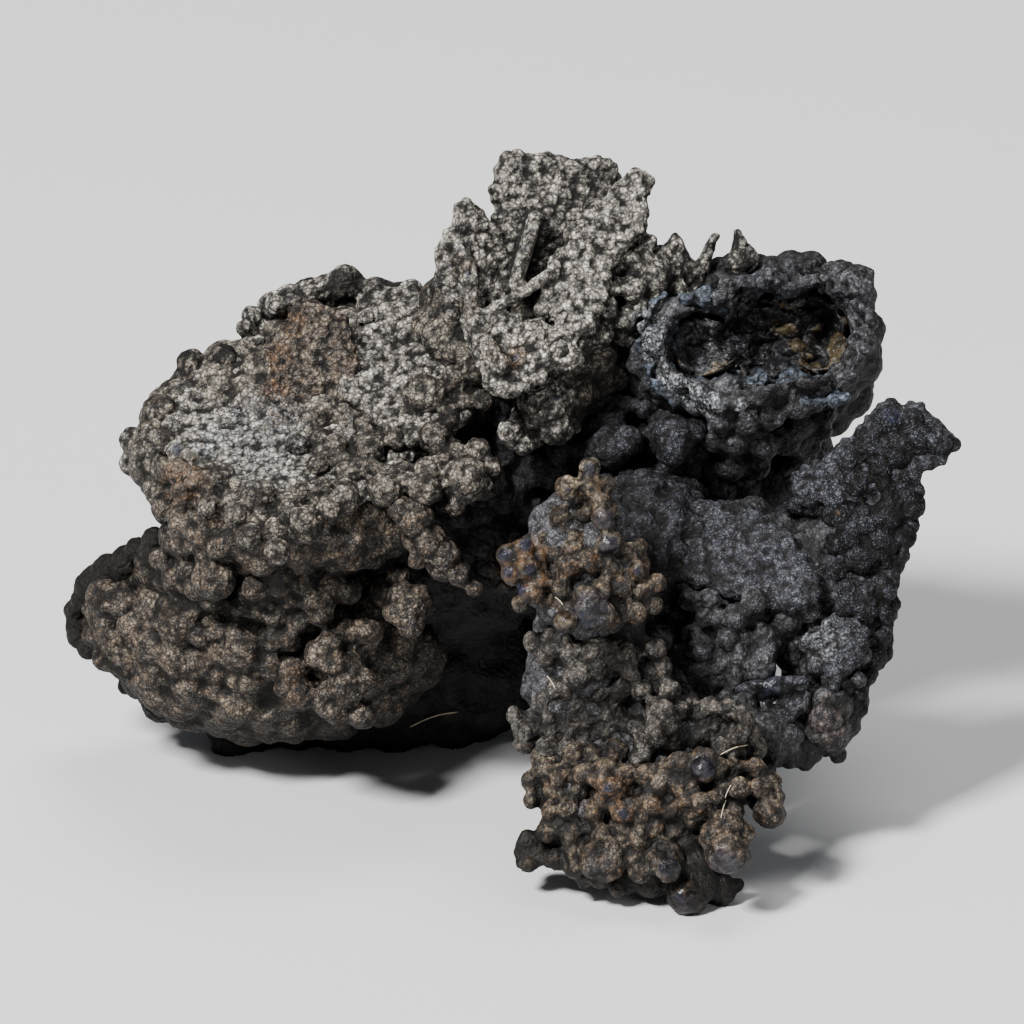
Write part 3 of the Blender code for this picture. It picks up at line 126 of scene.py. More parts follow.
CHEEK_LUMPS = (
    (-34.7, 0.7, 2, 1.4), (-33.4, -1.4, 1, 1), (-30.7, -3.3, 0, 1.4), (-28.2, -3.1, -0.8, 1.2),
    (-29.8, -6.6, 0.6, 2.3), (-30.4, -4.8, 0.4, 1.4), (-23.4, -6, 0, 1.8), (-25.7, -7.6, 0.6, 1.4),
    (-23.2, -7.3, 0.4, 1.3), (-32.7, -3.3, 2.2, 1.2), (-35.2, -4.8, 6, 1.2), (-34, -6.6, 5, 1.2),
    (-36.2, -6.3, 9, 1.2), (-31.7, -7.8, 3, 1.1), (-32.4, -5.8, 2.8, 1.2), (-35.7, -2.8, 10, 1.4),
    (-37.4, -3.8, 14, 1.4), (-39.2, -5, 16, 1.4), (-40.8, -6.2, 17.2, 1.3), (-42.4, -7.3, 18.6, 1.4),
    (-43, -8.8, 20, 1.2), (-43.6, -9.8, 21.2, 1), (-40.8, -8.5, 13, 1.9), (-38.8, -8.9, 12.5, 2),
    (-37, -9.4, 11.8, 1.5), (-43.2, -12.4, 21.2, 1.4), (-42.4, -13.6, 20.8, 1.2), (-44, -11.3, 21.6, 0.8),
    (-40.2, -10.5, 13.6, 1.4), (-38.1, -11.3, 13, 1.2), (-39.5, -13.3, 13.8, 1.7), (-38.6, -15, 14.2, 1.9),
    (-40.7, -14.6, 15, 1.4), (-36.6, -14, 12, 1.4), (-37.2, -12.3, 12, 1.2), (-33.2, -11, 7.6, 2.3),
    (-31.8, -9.9, 6.6, 1.1), (-34.6, -9.3, 8.6, 1.2), (-31.2, -12.4, 6.6, 1.2), (-33.2, -8.3, 7, 1.1),
    (-33.2, -15.1, 9.2, 1.7), (-30.7, -14.3, 9, 1.2), (-29.7, -15.6, 10, 1.2), (-26.9, -13.6, 5.4, 2.1),
    (-27.4, -12.4, 5.2, 1.5), (-29.5, -12, 6.2, 1), (-30, -8.6, 4, 1.4), (-26.2, -8, 3.4, 1.3),
    (-23.7, -10.1, 3.6, 1.5), (-27.2, -9.5, 4, 1.1), (-25.4, -9.8, 3.8, 1.1), (-22.2, -8.8, 2.2, 1.2),
    (-19.4, -8.6, 1.4, 2), (-18.2, -6.8, 1.4, 1.8), (-16.4, -7.8, 1.8, 1.5), (-20.8, -6.8, 1, 1.6),
    (-19.2, -10, 1.6, 1.5), (-17.7, -4.8, 0.4, 1.6), (-16.2, -3.8, 1.4, 1.6), (-19.7, -3.8, -1, 1.2),
    (-23.7, -12.8, 4.6, 1.4), (-22, -12.8, 3.6, 1.2), (-21.2, -11, 3, 1.2), (-17.2, -3.3, 2, 2),
    (-19.4, -14.3, 1.8, 1.6), (-18.2, -13, 1.6, 1.3), (-17.8, -15, 1.6, 1.5), (-16.6, -12, 2.6, 1.4),
    (-14, -12, 2.4, 1.3), (-15.5, -12, 2.4, 1.3), (-11, -8.6, 1.4, 1.5), (-9.4, -8.6, 1.2, 1.5),
    (-11.7, -10, 1.6, 1.3), (-10.2, -11.2, 1.2, 1.5), (-8.7, -9.6, 1.8, 1.1), (-10, -9.4, 0.8, 1.6),
    (-11.2, -6.3, 2.6, 1.3), (-12.7, -7.8, 4, 1.2), (-21.9, -16, 3.6, 1.5), (-21.2, -18.2, 3.8, 1.6),
    (-22.9, -17.6, 4.4, 1), (-24, -15, 5, 1), (-18.2, -18, 3, 1.3), (-16.7, -17.6, 2.6, 2),
    (-15, -16.8, 3, 1.4), (-16, -15, 2.4, 1.2), (-17.7, -20, 3.6, 1.3), (-15, -20.2, 4, 1.6),
    (-16.7, -16, 2.4, 1.2), (-18.7, -19.3, 3.4, 1.2),
)
UNDERSIDE_LUMPS = (
    (-35.2, -19.4, 23.2, 1.8), (-33.8, -20, 23, 1.4), (-36.4, -18.8, 23.5, 1), (-32.4, -19, 23, 1.2),
    (-38.6, -17.4, 22, 1), (-36.2, -17.8, 22.5, 1.3), (-34.2, -17.8, 22.5, 1.4), (-30.7, -18.8, 23.5, 1.4),
    (-28.2, -23.3, 26.8, 1.9), (-29.4, -21.8, 26.2, 1.3), (-27.2, -24, 26.8, 1.1), (-25.4, -23, 27, 1.2),
    (-29, -18.8, 24, 1.6), (-26.2, -20.3, 25, 1.8), (-30.7, -16.8, 20, 1.6), (-27.2, -17.8, 21.5, 1.8),
    (-23.2, -21.3, 26.2, 1.6), (-21.2, -22.6, 27.2, 1.4), (-18.2, -22.8, 28, 1.4),
    (-14.7, -22.6, 28.8, 1.4), (-12, -21.6, 29.6, 1.3), (-10, -21, 30, 1.2), (-8, -21.6, 30.6, 1.4),
    (-5.7, -20, 30.6, 1.3), (-3.4, -19.8, 31.2, 1.2), (-1.4, -19.4, 31.2, 1.2), (-0.4, -18.8, 30, 1),
)
HOLLOW_LUMPS = (
    (3.3, 10.7, 1.2, 2.8), (4.4, 8.4, 1, 1.8), (4.8, 11.4, 0.8, 1.6), (1.8, 11.2, 1.8, 1.8),
    (6, 11.2, 3, 1.2), (6.1, 8.7, 2.6, 1), (-0.2, 8, 1, 1.3), (1.2, 6.7, 1.6, 1.2), (0, 6.9, 1.2, 0.8),
    (10, 6.5, 3.8, 2.2), (11.5, 7, 3, 1.8), (8.3, 6.2, 4.4, 1.5), (16.3, 7.7, 3, 2.2), (16, 6.2, 2.6, 1.7),
    (18.1, 8.2, 3.4, 1.4), (13.3, 10.4, 6, 1.2), (11.8, 15, 7.6, 1.2), (9.6, 13.7, 7.4, 1.2),
    (7.8, 13.4, 7.2, 1.1), (6, 13.2, 7, 1.2), (4.3, 13.4, 6.6, 1.2), (13.3, 15, 8.4, 1.1),
    (12.1, 17.2, 8.8, 1), (12.8, 13.2, 7.8, 1), (14.3, 13, 7.6, 1.1), (8.3, 11.2, 6.6, 1.3),
    (10.2, 11.2, 6.6, 1), (8.8, 10, 6.2, 1), (10, 9.4, 6, 1.4), (8, 8.7, 6.2, 1.2), (11.6, 10.7, 6.4, 1),
    (13.3, 7.2, 5.6, 1.2), (15.6, 10.7, 6, 1), (12.8, 4.2, 6.4, 1.3), (14.3, 4.7, 6.6, 1.2),
    (10.8, 3.2, 7.8, 1.6), (13.3, 0.7, 8.4, 2), (9.8, 4.2, 7.4, 1.2), (15.8, 3.2, 7.8, 1.6),
    (17.8, 4.2, 7.6, 1.4), (18.8, 6.2, 6.6, 1.2), (4.8, 6.2, 7, 1.4), (6.3, 6.7, 6.6, 1.2),
    (7.8, 5.7, 6.4, 1.2), (2.3, 4.2, 8, 1.8), (4.3, 3.7, 8.4, 1.6), (-0.7, 5.7, 7, 1.4),
    (-1.7, 3.2, 6, 1.4), (-1.2, 1.2, 7.6, 1.6), (0.3, 2.2, 8.4, 1.6), (1.8, 0.2, 9.6, 1.6),
    (3.8, -0.8, 10, 1.8), (-1.7, -0.8, 9.6, 1.4), (-0.2, -2.3, 10, 1.4), (-2.7, -3.3, 8.4, 1.4),
    (-2.2, -5.3, 9, 1.4), (-0.7, -6.8, 10, 1.4), (0.8, 8.2, 5.6, 1.2), (6.3, 16.2, 6, 1.4),
    (7.8, 16.7, 6.6, 1.4), (9.3, 16.2, 7.6, 1.3), (8.8, 17.7, 6, 1.3), (10.3, 16.7, 8, 1.2),
    (-1.2, 9.7, 3, 1.2), (-0.7, 10.7, 4, 1), (-5.2, -0.3, 4, 1.4), (-6.7, 1.2, 2, 1.3),
)
CROWN_LUMPS = (
    (11.6, 25.5, 2, 1.5), (13.6, 26.9, 2.4, 1), (12.4, 28.5, 2.2, 1), (10, 22.7, 1, 1.2),
    (12, 22.4, 1.4, 1.4), (9.6, 20.4, 0.2, 1.1), (14, 23.7, 3, 2.1), (7.8, 18.7, -0.6, 1.1),
    (5.3, 18.2, -1.4, 1.1), (3.3, 20.2, -1.4, 1.2), (14.8, 25.7, 3.6, 1.1), (12.8, 20.7, 2.6, 1.3),
    (14.3, 21.2, 3.2, 1.2), (11, 19.4, 2, 1.4), (8.8, 17.7, 1.2, 1.4), (16, 24.4, 4.4, 1.4),
    (17.8, 24, 5.4, 1.3), (6.3, 17.2, -1, 1.2), (-5.7, 20.2, 3, 1.4), (-7.2, 22.2, 6, 1.3),
    (-4.2, 21.2, 4, 1.6), (-1.2, 18.2, 0, 2), (0.8, 16.7, -1, 1.8), (-2.2, 16.2, 0, 1.6),
    (-1.2, 13.4, -2, 1.6), (1.8, 15, -2, 1.6), (4.8, 16, -2.4, 1.3), (-3.2, 16.7, 1, 1.4),
    (11.3, 17.7, 4, 1.3), (16.3, 22.2, 4.4, 1.3), (14.8, 19.2, 4.4, 1.2), (17.8, 21.2, 5, 1.2),
    (13.3, 25, 2, 1.2), (10.6, 24.2, 3, 1.4),
)
VUG_LUMPS = (
    (20.8, 24.4, 8, 1.2), (22.3, 25, 8.4, 1.4), (24, 24.6, 8.4, 1.2), (26, 24.6, 8, 0.9),
    (27.8, 24.6, 7.8, 0.9), (29.8, 24.4, 7.2, 1), (32, 24, 6, 1.2), (33.4, 24.2, 5.6, 0.9),
    (34.6, 24, 5.6, 0.9), (35.4, 22.4, 5.4, 1), (34.8, 20.9, 5, 1), (34.6, 19.4, 4.6, 1),
    (34, 17.7, 4.2, 1.1), (33.6, 16, 4, 1.1), (32.8, 14.6, 3.8, 1), (34.8, 16.7, 5.4, 1.2),
    (32.3, 13.2, 5, 1), (15.6, 19.4, 3, 0.9), (15, 18, 2, 1), (14, 16.7, 1.2, 1.1), (15.6, 14.4, 0.4, 1),
    (16.8, 13.2, 0, 1), (18.8, 12, -0.4, 1.1), (20.6, 11, -0.8, 1.2), (22.6, 11.2, -0.8, 1.2),
    (24.5, 11.8, -0.8, 1.1), (25.8, 13, -0.6, 1.1), (27.6, 14, -0.2, 1.1), (29.4, 13.4, 0.4, 1.2),
    (30.8, 14, 1, 1.1), (31.6, 12.4, 3, 1), (18.8, 21.4, 4.4, 1), (19.8, 22.7, 6, 1.2),
    (17.8, 20, 3.4, 0.9), (21.3, 22.2, 7, 1.2), (23, 23.2, 7.2, 0.9),
)
UNDER_VUG_LUMPS = (
    (20.8, 9.2, 1.6, 1.4), (23.3, 9.2, 1.8, 1.6), (25.8, 9.7, 2, 1.6), (28.3, 10.7, 2.4, 1.5),
    (30.3, 11.2, 3, 1.3), (31.3, 9.7, 6, 1.1), (31, 8.2, 7.2, 1.1), (29.8, 6.7, 9, 1.2),
    (28.8, 5.7, 10.4, 1.1), (27.3, 4.7, 12, 1.2), (25.8, 4.4, 13, 1), (25.3, 3.2, 14, 1),
    (25.6, 2.2, 14.6, 0.9), (22.3, 7.2, 3.6, 1.6), (24.8, 6.7, 5, 1.8), (27.3, 7.2, 6, 1.7),
    (28.8, 8.7, 5.6, 1.4), (20, 7.2, 4.4, 1.4), (21.8, 4.7, 7.2, 1.7), (24.3, 4.7, 8.4, 1.6),
    (19.8, 4.2, 8, 1.4), (23.3, 2.7, 12, 1.6), (20.8, 2.2, 11, 1.6), (17.8, 1.7, 10, 1.6),
    (18.8, 0, 8, 1.4), (24.3, 1.2, 14, 1.4), (15.8, 0.2, 8.4, 1.4),
)
WING_LUMPS = (
    (37.8, 9.2, -1.8, 1.7), (40, 9.2, -2.2, 1.3), (42.3, 7.2, -2.4, 1.5), (43.3, 7.2, -2.2, 1),
    (35.8, 6.7, -1.2, 2), (38.3, 6.2, -2, 1.8), (33.8, 4.7, -0.6, 1.8), (31.8, 3.7, 0, 1.6),
    (30, 2.7, 0.4, 1.5), (28.8, 3.2, 0.6, 1), (36.8, 4.2, -1.6, 1.5), (34.6, 2.7, -1, 1.6),
    (32.3, 1.7, 0, 1.6), (30.3, 0.7, 1, 1.4), (28.6, 0.7, 1.6, 1.2), (40.6, 7.4, -2.4, 1.6),
    (39.3, 3.7, -1.6, 1), (37.3, 2.7, -1.6, 1.2), (39.8, 0.7, -1.4, 1.6), (37.8, 0.2, -1.8, 1.8),
    (35.6, -0.8, -1.8, 1.8), (33.8, -2.3, -1.8, 1.6), (32.3, -3.3, -1.2, 1.4), (39.3, -2.3, -1, 1.4),
    (36.8, -3.3, -1.6, 1.8), (34.8, -4.8, -1.6, 1.6), (32.6, -5.8, -0.6, 1.6), (37.8, -5, -1, 1.2),
    (37.3, -7.8, -2.4, 1.4), (35.6, -8.3, -2.8, 1.4), (33.6, -8, -3, 1.2), (37.3, -10, -1.8, 1.2),
    (35.3, -10, -3, 1.2), (33.3, -9.6, -3.2, 1.3), (36.8, -12.3, -1, 1.1), (36.4, -14.3, -0.8, 1.1),
    (35.8, -16.3, -1.2, 1), (34.8, -17.8, -2, 1), (31.8, -7.3, 0, 1.6), (26.8, -0.8, 3, 1.4),
    (29.8, -1.8, 2, 1.4), (27.8, 0.2, 3, 1.2), (32.6, -0.2, -0.4, 1.5),
)
FLANK_LUMPS = (
    (19.8, -8.8, -4.6, 1.2), (22.4, -10.5, -5.2, 1.4), (24.3, -8.8, -4.8, 1.4), (18.8, -13.6, -5.6, 1.5),
    (18, -12.2, -5.2, 1.1), (21.6, -12.8, -4.6, 1.3), (20.8, -10.8, -4.6, 1.1), (23.3, -12.8, -4.2, 1.2),
    (19.3, -10.6, -4.6, 1), (25.3, -12.8, -3.4, 1.8), (27.3, -11, -2.4, 1.8), (29.6, -9.8, -2.8, 1.3),
    (24.8, -15.6, -4.6, 1.8), (22.8, -14.8, -4.6, 1.3), (18.8, -9, -4, 1.1), (26.8, -8.8, -3.6, 1.3),
    (17.8, -8.8, -3, 1.2), (25.3, -14.3, -4.6, 1.4), (30.3, -15.6, -4, 1.1), (22.3, -16.8, -5, 1.2),
    (21.3, -18.8, -6, 1.1), (23.3, -19.1, -6, 1.2), (20.8, -15.6, -2, 1), (27.8, -14.8, -1, 1.4),
    (28.8, -12.8, -1.4, 1.4), (31.3, -18.8, -4.2, 1.4), (31.3, -20.8, -4.4, 1.8), (32, -22.6, -4, 1.7),
    (30.2, -22.3, -4, 1.4), (32.9, -21.6, -3.4, 1), (32.8, -18.8, -3.8, 1.2), (32.6, -24.3, -3, 0.9),
    (30, -24.3, -3.4, 1.1), (26.3, -24, -4.4, 1.6), (27.8, -23.3, -4.4, 1.7), (29.3, -25.2, -3.4, 0.8),
    (25.3, -22.3, -5, 1.6), (26.8, -21.3, -4.8, 1.3), (24.3, -20.8, -5.6, 1.2), (27.8, -24.6, -4, 1.2),
    (25.3, -25.8, -6, 1.2), (34.6, -16.8, -3.4, 0.9), (35, -14.3, -3, 1),
)
CLUSTER_LUMPS = (
    (7.7, 4.4, -15, 1.2), (5.6, 2.4, -15.5, 1.3), (9.6, 2.8, -14.8, 0.9), (7.8, 2.7, -15, 1.4),
    (9.1, -0.6, -16.2, 1.3), (8.8, 1, -15.2, 1.2), (9.9, -3.2, -15.8, 1.4), (12.5, -5.8, -15, 1),
    (14.4, -7.1, -13.8, 1), (14.1, -9.3, -13.2, 1), (7.4, -8.8, -16.2, 1.6), (8.8, -10.4, -16.2, 1.6),
    (8, -9.6, -16.4, 1.7), (10.1, -11, -15.2, 1.2), (12.4, -10, -15, 1.3), (5.5, -10.9, -14.5, 1.3),
    (1.4, -5.5, -15.2, 1.3), (-0.4, -4.4, -14.5, 1.2), (0, -6.2, -14.2, 1.2), (2.8, -6.6, -14.5, 1.2),
    (2, -8, -14.5, 1.3), (0.9, -9.2, -13.8, 0.9), (1, -3.6, -15, 1.2), (2.8, -4.8, -14.2, 1.1),
    (5.3, -1, -12.8, 1.9), (6.3, -2.3, -13.2, 1.6), (5.8, -5.4, -14.8, 1.6), (7.8, -4.8, -15, 1.4),
    (11, -7.6, -14.6, 1.3), (5.1, -7.4, -15, 1.2), (11.8, -4.4, -13.8, 1.4), (13.1, -8, -13.8, 1.2),
    (10, -5.6, -14.8, 1.3), (6.3, -3.8, -14, 1.4), (9.3, -7.8, -15, 1.3), (3.8, -8.8, -13, 1.2),
    (12.8, -3.6, -12.6, 1), (7.3, -0.3, -13.8, 1.2), (4.1, -4.3, -13.6, 1.2), (3.6, -2.8, -13, 1.2),
)
ARM_LUMPS = (
    (4.3, -12.8, -11, 1.7), (2.3, -13, -9.8, 1.2), (3.4, -14.3, -10, 1.2), (6.5, -16.3, -11.6, 1.5),
    (6, -14.3, -11, 1.4), (7.8, -13.8, -11.2, 1.6), (9.8, -13.3, -11.2, 1.4), (8.8, -15.6, -11.2, 1.4),
    (11.3, -14.3, -11.2, 1.5), (11.8, -16, -11.2, 1.3), (12.8, -17.8, -10.8, 1.2), (14.3, -13.8, -11, 1.3),
    (14.8, -15.6, -10, 1.3), (15.6, -17.8, -10.4, 1.2), (10.8, -17.8, -9.6, 1.4), (8.8, -18.3, -9, 1.6),
    (6.8, -19.3, -8.8, 1.4), (4.8, -17.8, -9.2, 1.5), (3.3, -19.3, -8.4, 1.4), (4.1, -21, -8.6, 1.6),
    (5.8, -21.6, -8.8, 1.5), (7.8, -21, -9, 1.4), (10, -20.3, -9, 1.6), (11.6, -21.3, -9.4, 1.2),
    (9.4, -22.3, -9.2, 1.3), (7.3, -23.3, -9.2, 1.2), (1.8, -21.6, -8, 1.3), (1.2, -23.2, -8, 1.1),
    (0.2, -20.2, -6.2, 0.9), (0.7, -21.5, -7, 0.8), (3.6, -23.6, -9.6, 1.2), (5.6, -23.8, -10, 1.2),
    (14.8, -20, -12.2, 1.7), (14.3, -22, -12.2, 1.7), (15.6, -21.3, -12, 1.4), (13.3, -23.3, -11.6, 1.3),
    (16, -23.3, -11.2, 1.2), (12.8, -24.6, -12, 1.2), (12.4, -21.6, -10.8, 1), (16.8, -20, -10, 1.1),
    (19, -20.8, -9.2, 1.2), (17.9, -19, -8.6, 1), (20.4, -21.6, -9.2, 1.1),
    (20, -19.6, -9.4, 1.2), (21.6, -19.8, -10.4, 1.2), (18.8, -22.3, -9.4, 1.2),
    (17.8, -23, -10, 1.2), (22.6, -22.6, -12.6, 0.9), (23.1, -21.6, -12.6, 0.9),
    (23.3, -20.3, -11.6, 1.1), (22.3, -24, -11.2, 1.2), (24.3, -23.6, -9.6, 1.3), (23.8, -21.8, -10.4, 1.2),
    (20.8, -23.6, -11.2, 1.2),
)
FOOT_LUMPS = (
    (19.1, -25.8, -15.2, 1.4), (19.1, -24.4, -13.8, 1.2), (16.8, -25.3, -13.6, 1.4),
    (15, -27.3, -13.2, 1.3), (16.8, -27.4, -13.6, 1.2), (13.8, -28.3, -13.4, 1.2),
    (13.3, -26.3, -12.6, 1.3), (15.3, -25.8, -13, 1.2), (18.1, -26.8, -13.8, 1.2), (20.8, -25.8, -13, 1.2),
    (22.3, -25.6, -12.2, 1.2), (24.3, -25.8, -11.8, 1.3), (25.8, -27, -11.6, 1.2),
    (19.1, -29.3, -14.6, 1.4), (20.2, -28.8, -14.2, 1.1), (17.8, -30.8, -13.8, 1),
    (22.6, -27.6, -14.2, 1.2), (24.9, -27.6, -13.6, 1.2), (20.8, -27.6, -14, 0.9), (22.4, -30, -13.6, 0.9),
    (25.7, -30, -13.2, 1.7), (26.4, -28.5, -12.6, 1.1), (21.5, -31.6, -16, 2), (21.5, -34, -16.4, 2.3),
    (20.1, -32.4, -15.8, 1.5), (23.1, -32.2, -15.6, 1.3), (23.2, -34.4, -15.2, 1),
    (17.5, -38.3, -11.6, 2.2), (18.8, -37.3, -11.2, 1.8), (21, -37.6, -9.8, 1.7), (22.4, -37.2, -9.4, 0.9),
    (21, -39, -9.6, 0.8), (15.5, -35.7, -14.4, 1.4), (14.6, -35, -13.8, 1.4), (16, -34.3, -13.2, 1.2),
    (12.8, -36, -13.2, 1.2), (12.2, -34.6, -13.2, 1.1), (14, -37.6, -11.2, 0.8), (9.6, -35.4, -13.2, 1.6),
    (8, -35.4, -12.8, 1.3), (10.3, -33.5, -13.4, 1.2), (7.8, -34, -12.8, 1.3), (6.3, -35.6, -11.2, 1.1),
    (10.6, -37.6, -11.2, 1), (7.2, -37, -10.6, 0.8), (8.8, -36.8, -11.8, 1), (5.8, -29.6, -11.8, 1.3),
    (3.8, -30, -11, 1.1), (3.4, -32, -10.6, 1.1), (4.8, -31.6, -11, 1), (5.8, -32.6, -11.2, 1),
    (6.3, -34, -11, 1.1), (1.5, -35, -9.2, 1.2), (1.6, -33, -9, 1.2), (0.8, -33.8, -9, 0.9),
    (2.6, -34.3, -9.2, 1.1), (4.4, -34.8, -9.8, 1.2), (10, -27.6, -14.2, 1.4), (9.3, -25.8, -13.2, 1.3),
    (11, -30, -14, 1.2), (8.6, -26.6, -13.2, 1.2), (12.1, -29.6, -13.8, 1.2), (8.4, -30, -13, 1.1),
    (7.3, -26.3, -12.6, 1.3), (9.3, -28.8, -13.6, 1.2), (11.3, -26.3, -13.2, 1.2), (6.3, -24.3, -11.2, 1.3),
    (8.3, -24.3, -11.4, 1.3), (10.3, -24, -11.4, 1.4), (3.3, -25.8, -9.8, 1.4), (2.1, -27, -9, 1.2),
    (2.2, -28.8, -9.2, 1.1), (4.8, -26.3, -11, 1.2), (6.8, -27.8, -11.8, 1.2), (4.3, -27.8, -10.4, 1.2),
    (3, -24.6, -9, 1.2), (12.8, -32.6, -13.4, 1.3), (14.3, -31.6, -13, 1.2), (15, -33, -12.8, 1.2),
    (11.3, -31.8, -13, 1.2), (8.8, -32.3, -12.8, 1.3), (6.8, -31.6, -11.6, 1.1), (14.3, -29.4, -14, 1.1),
    (16, -30, -14, 1.1), (12.8, -30.6, -13.4, 1.1), (17.3, -28.8, -14, 1), (17.8, -32.8, -12, 1.4),
    (18.8, -34.8, -11.6, 1.4), (16.3, -31.8, -12.4, 1.2), (17.8, -35.3, -11.6, 1.4),
    (12.5, -28.9, -12, 1.6), (15.4, -28.6, -12, 1.5), (4.4, -24.7, -9.2, 1.2),
)

# Main masses: place of the middle, then half width, half height and half depth
MASSES = (
    (-21.0, 6.0, 11.0, 16.0, 10.5, 9.5),
    (-22.0, -1.0, 1.0, 12.0, 5.0, 6.0),
    (-15.0, 12.5, 16.0, 12.5, 7.5, 10.0),
    (-19.5, 15.0, 14.0, 8.0, 4.6, 6.5),
    (-8.0, 2.0, 19.5, 14.5, 14.5, 12.5),
    (12.0, 5.0, 22.5, 18.0, 17.5, 12.5),
    (1.0, 17.0, 9.0, 10.5, 8.5, 8.0),
    (24.0, 15.0, 14.5, 11.0, 8.5, 11.0),
    (25.0, 17.0, 9.0, 11.2, 7.0, 6.5),
    (22.5, 12.5, 5.5, 8.5, 3.6, 5.0),
    (16.0, 16.5, 6.0, 4.5, 5.5, 4.5),
    (33.5, 21.5, 7.0, 3.0, 3.0, 3.5),
    (20.0, 6.0, 21.0, 10.5, 8.5, 10.0),
    (-24.0, -11.5, 18.5, 16.5, 10.5, 12.0),
    (-36.5, -10.5, 20.0, 6.0, 5.5, 5.5),
    (-14.0, -14.0, 29.5, 18.0, 9.5, 8.0),
    (12.0, -17.0, 28.0, 5.5, 8.0, 6.0),
    (13.0, -4.5, 7.0, 9.0, 8.5, 10.0),
    (21.5, -7.0, 4.5, 10.5, 7.5, 6.0),
    (20.0, -15.5, -1.5, 5.0, 3.4, 4.0),
    (31.5, -12.0, 1.5, 5.0, 12.0, 3.5),
    (8.0, -16.5, -6.0, 6.5, 7.5, 4.0),
    (15.0, -23.0, -7.5, 5.0, 4.0, 3.5),
    (24.5, -22.5, -4.0, 5.0, 3.2, 3.2),
    (12.5, -29.5, -8.5, 9.0, 7.6, 4.2),
    (7.0, -5.0, -11.5, 6.0, 7.5, 3.2),
    (8.0, -10.0, -4.0, 5.0, 5.0, 7.0),
)

# Blades, face on: a point that the blade passes through, how far it runs back for each millimetre
# across and up, and its outline
BLADES = (
    ((4.0, 30.0, 4.0), (0.25, 0.30), (
        (-0.4, 35.4), (2.8, 35.5), (6.8, 34.7), (9.6, 35.1), (10.5, 33.4), (10.0, 31.2), (8.8, 27.7),
        (4.8, 24.5), (0.8, 22.2), (-1.5, 24.0), (-1.5, 27.7), (-1.2, 30.5), (-1.9, 32.5))),
    ((-4.5, 25.5, -0.5), (0.45, 0.10), (
        (-4.5, 30.9), (-5.5, 29.9), (-5.4, 28.4), (-6.6, 27.5), (-7.2, 25.7), (-7.4, 23.7), (-6.0, 21.2),
        (-2.5, 19.0), (-0.2, 21.7), (-0.7, 26.2), (-1.2, 27.2), (-2.2, 28.2), (-3.4, 29.9))),
    ((8.0, 26.0, 0.0), (0.10, 0.22), (
        (4.5, 25.0), (5.6, 26.7), (6.0, 28.0), (7.6, 29.4), (10.8, 32.5), (12.5, 34.1), (13.5, 33.2),
        (13.0, 31.4), (13.3, 28.4), (10.8, 26.7), (9.3, 24.0), (9.1, 21.5), (7.8, 18.7), (5.8, 17.5),
        (3.3, 20.5), (3.3, 22.7))),
    ((0.0, 16.0, -3.2), (0.15, 0.25), (
        (-3.4, 19.2), (-1.2, 19.7), (4.8, 17.7), (5.8, 16.7), (6.8, 15.4), (5.8, 14.5), (3.6, 15.0),
        (2.6, 13.0), (0.8, 12.2), (-1.2, 11.9), (-2.2, 12.7), (-3.4, 16.2), (-4.6, 18.6))),
    ((-20.0, 13.0, 2.6), (0.10, 0.15), (
        (-21.2, 20.4), (-22.2, 18.2), (-23.7, 14.7), (-23.5, 12.7), (-24.2, 11.9), (-23.2, 10.7),
        (-21.2, 8.0), (-17.2, 8.0), (-15.4, 12.2), (-16.0, 15.2), (-16.7, 19.0), (-19.2, 20.6))),
    ((22.0, -4.0, -1.5), (-0.10, 0.45), (
        (14.8, -2.3), (16.5, -0.5), (18.8, 0.7), (23.5, 0.4), (27.3, -2.3), (30.6, -7.7), (29.1, -9.8),
        (25.6, -9.1), (21.3, -7.8), (17.5, -7.0), (15.3, -4.8))),
    ((32.0, -14.0, -3.6), (-0.10, 0.20), (
        (29.3, -13.1), (33.0, -10.4), (35.4, -11.8), (34.6, -14.8), (32.0, -17.5), (30.3, -15.3))),
    ((27.0, -19.5, -5.0), (0.00, 0.50), (
        (24.0, -18.2), (29.3, -17.8), (29.3, -19.3), (28.3, -20.4), (26.8, -20.9), (25.3, -20.2))),
    ((35.0, -6.0, -1.0), (0.00, 0.00), (
        (39.9, 4.1), (40.8, 2.1), (39.8, -2.3), (38.1, -6.7), (38.4, -7.7), (37.7, -11.1), (36.1, -15.8),
        (34.0, -18.2), (32.3, -14.8), (30.8, -8.8), (31.0, -4.3), (32.8, -1.8), (35.8, 0.7), (38.3, 2.7))),
    ((36.0, 6.0, -1.2), (-0.10, 0.00), (
        (28.5, 3.7), (31.8, 5.2), (33.8, 7.2), (35.6, 8.7), (37.6, 10.9), (40.8, 10.2), (44.2, 6.8),
        (42.5, 5.1), (38.8, 2.8), (36.8, 2.5), (33.8, 1.0), (28.8, 1.2))),
)

# Rods and spikes: across, up, back and radius of each bead that they run through
RODS = (
    ((-2.5, 20.0, -3.0, 0.6), (1.3, 22.0, -3.0, 0.6), (4.5, 24.4, -1.5, 0.6)),
    ((-5.1, 26.2, -1.5, 0.8), (-4.3, 23.9, -2.0, 0.9), (-4.2, 19.2, -3.0, 1.0), (-1.2, 14.7, -4.6, 1.1)),
    ((16.4, 27.7, 5.5, 0.4), (16.2, 25.0, 5.5, 1.8)),
    ((20.4, 27.6, 6.5, 0.5), (19.1, 25.0, 6.0, 0.7), (18.7, 23.0, 5.5, 0.9)),
    ((22.5, 28.0, 7.0, 0.4), (23.2, 25.0, 7.5, 1.6)),
    ((22.9, -17.9, -5.4, 0.8), (26.5, -17.4, -5.6, 1.1), (29.0, -17.2, -5.0, 0.8)),
    ((32.0, -17.5, -4.2, 0.7), (35.4, -12.0, -3.6, 0.6)),
)

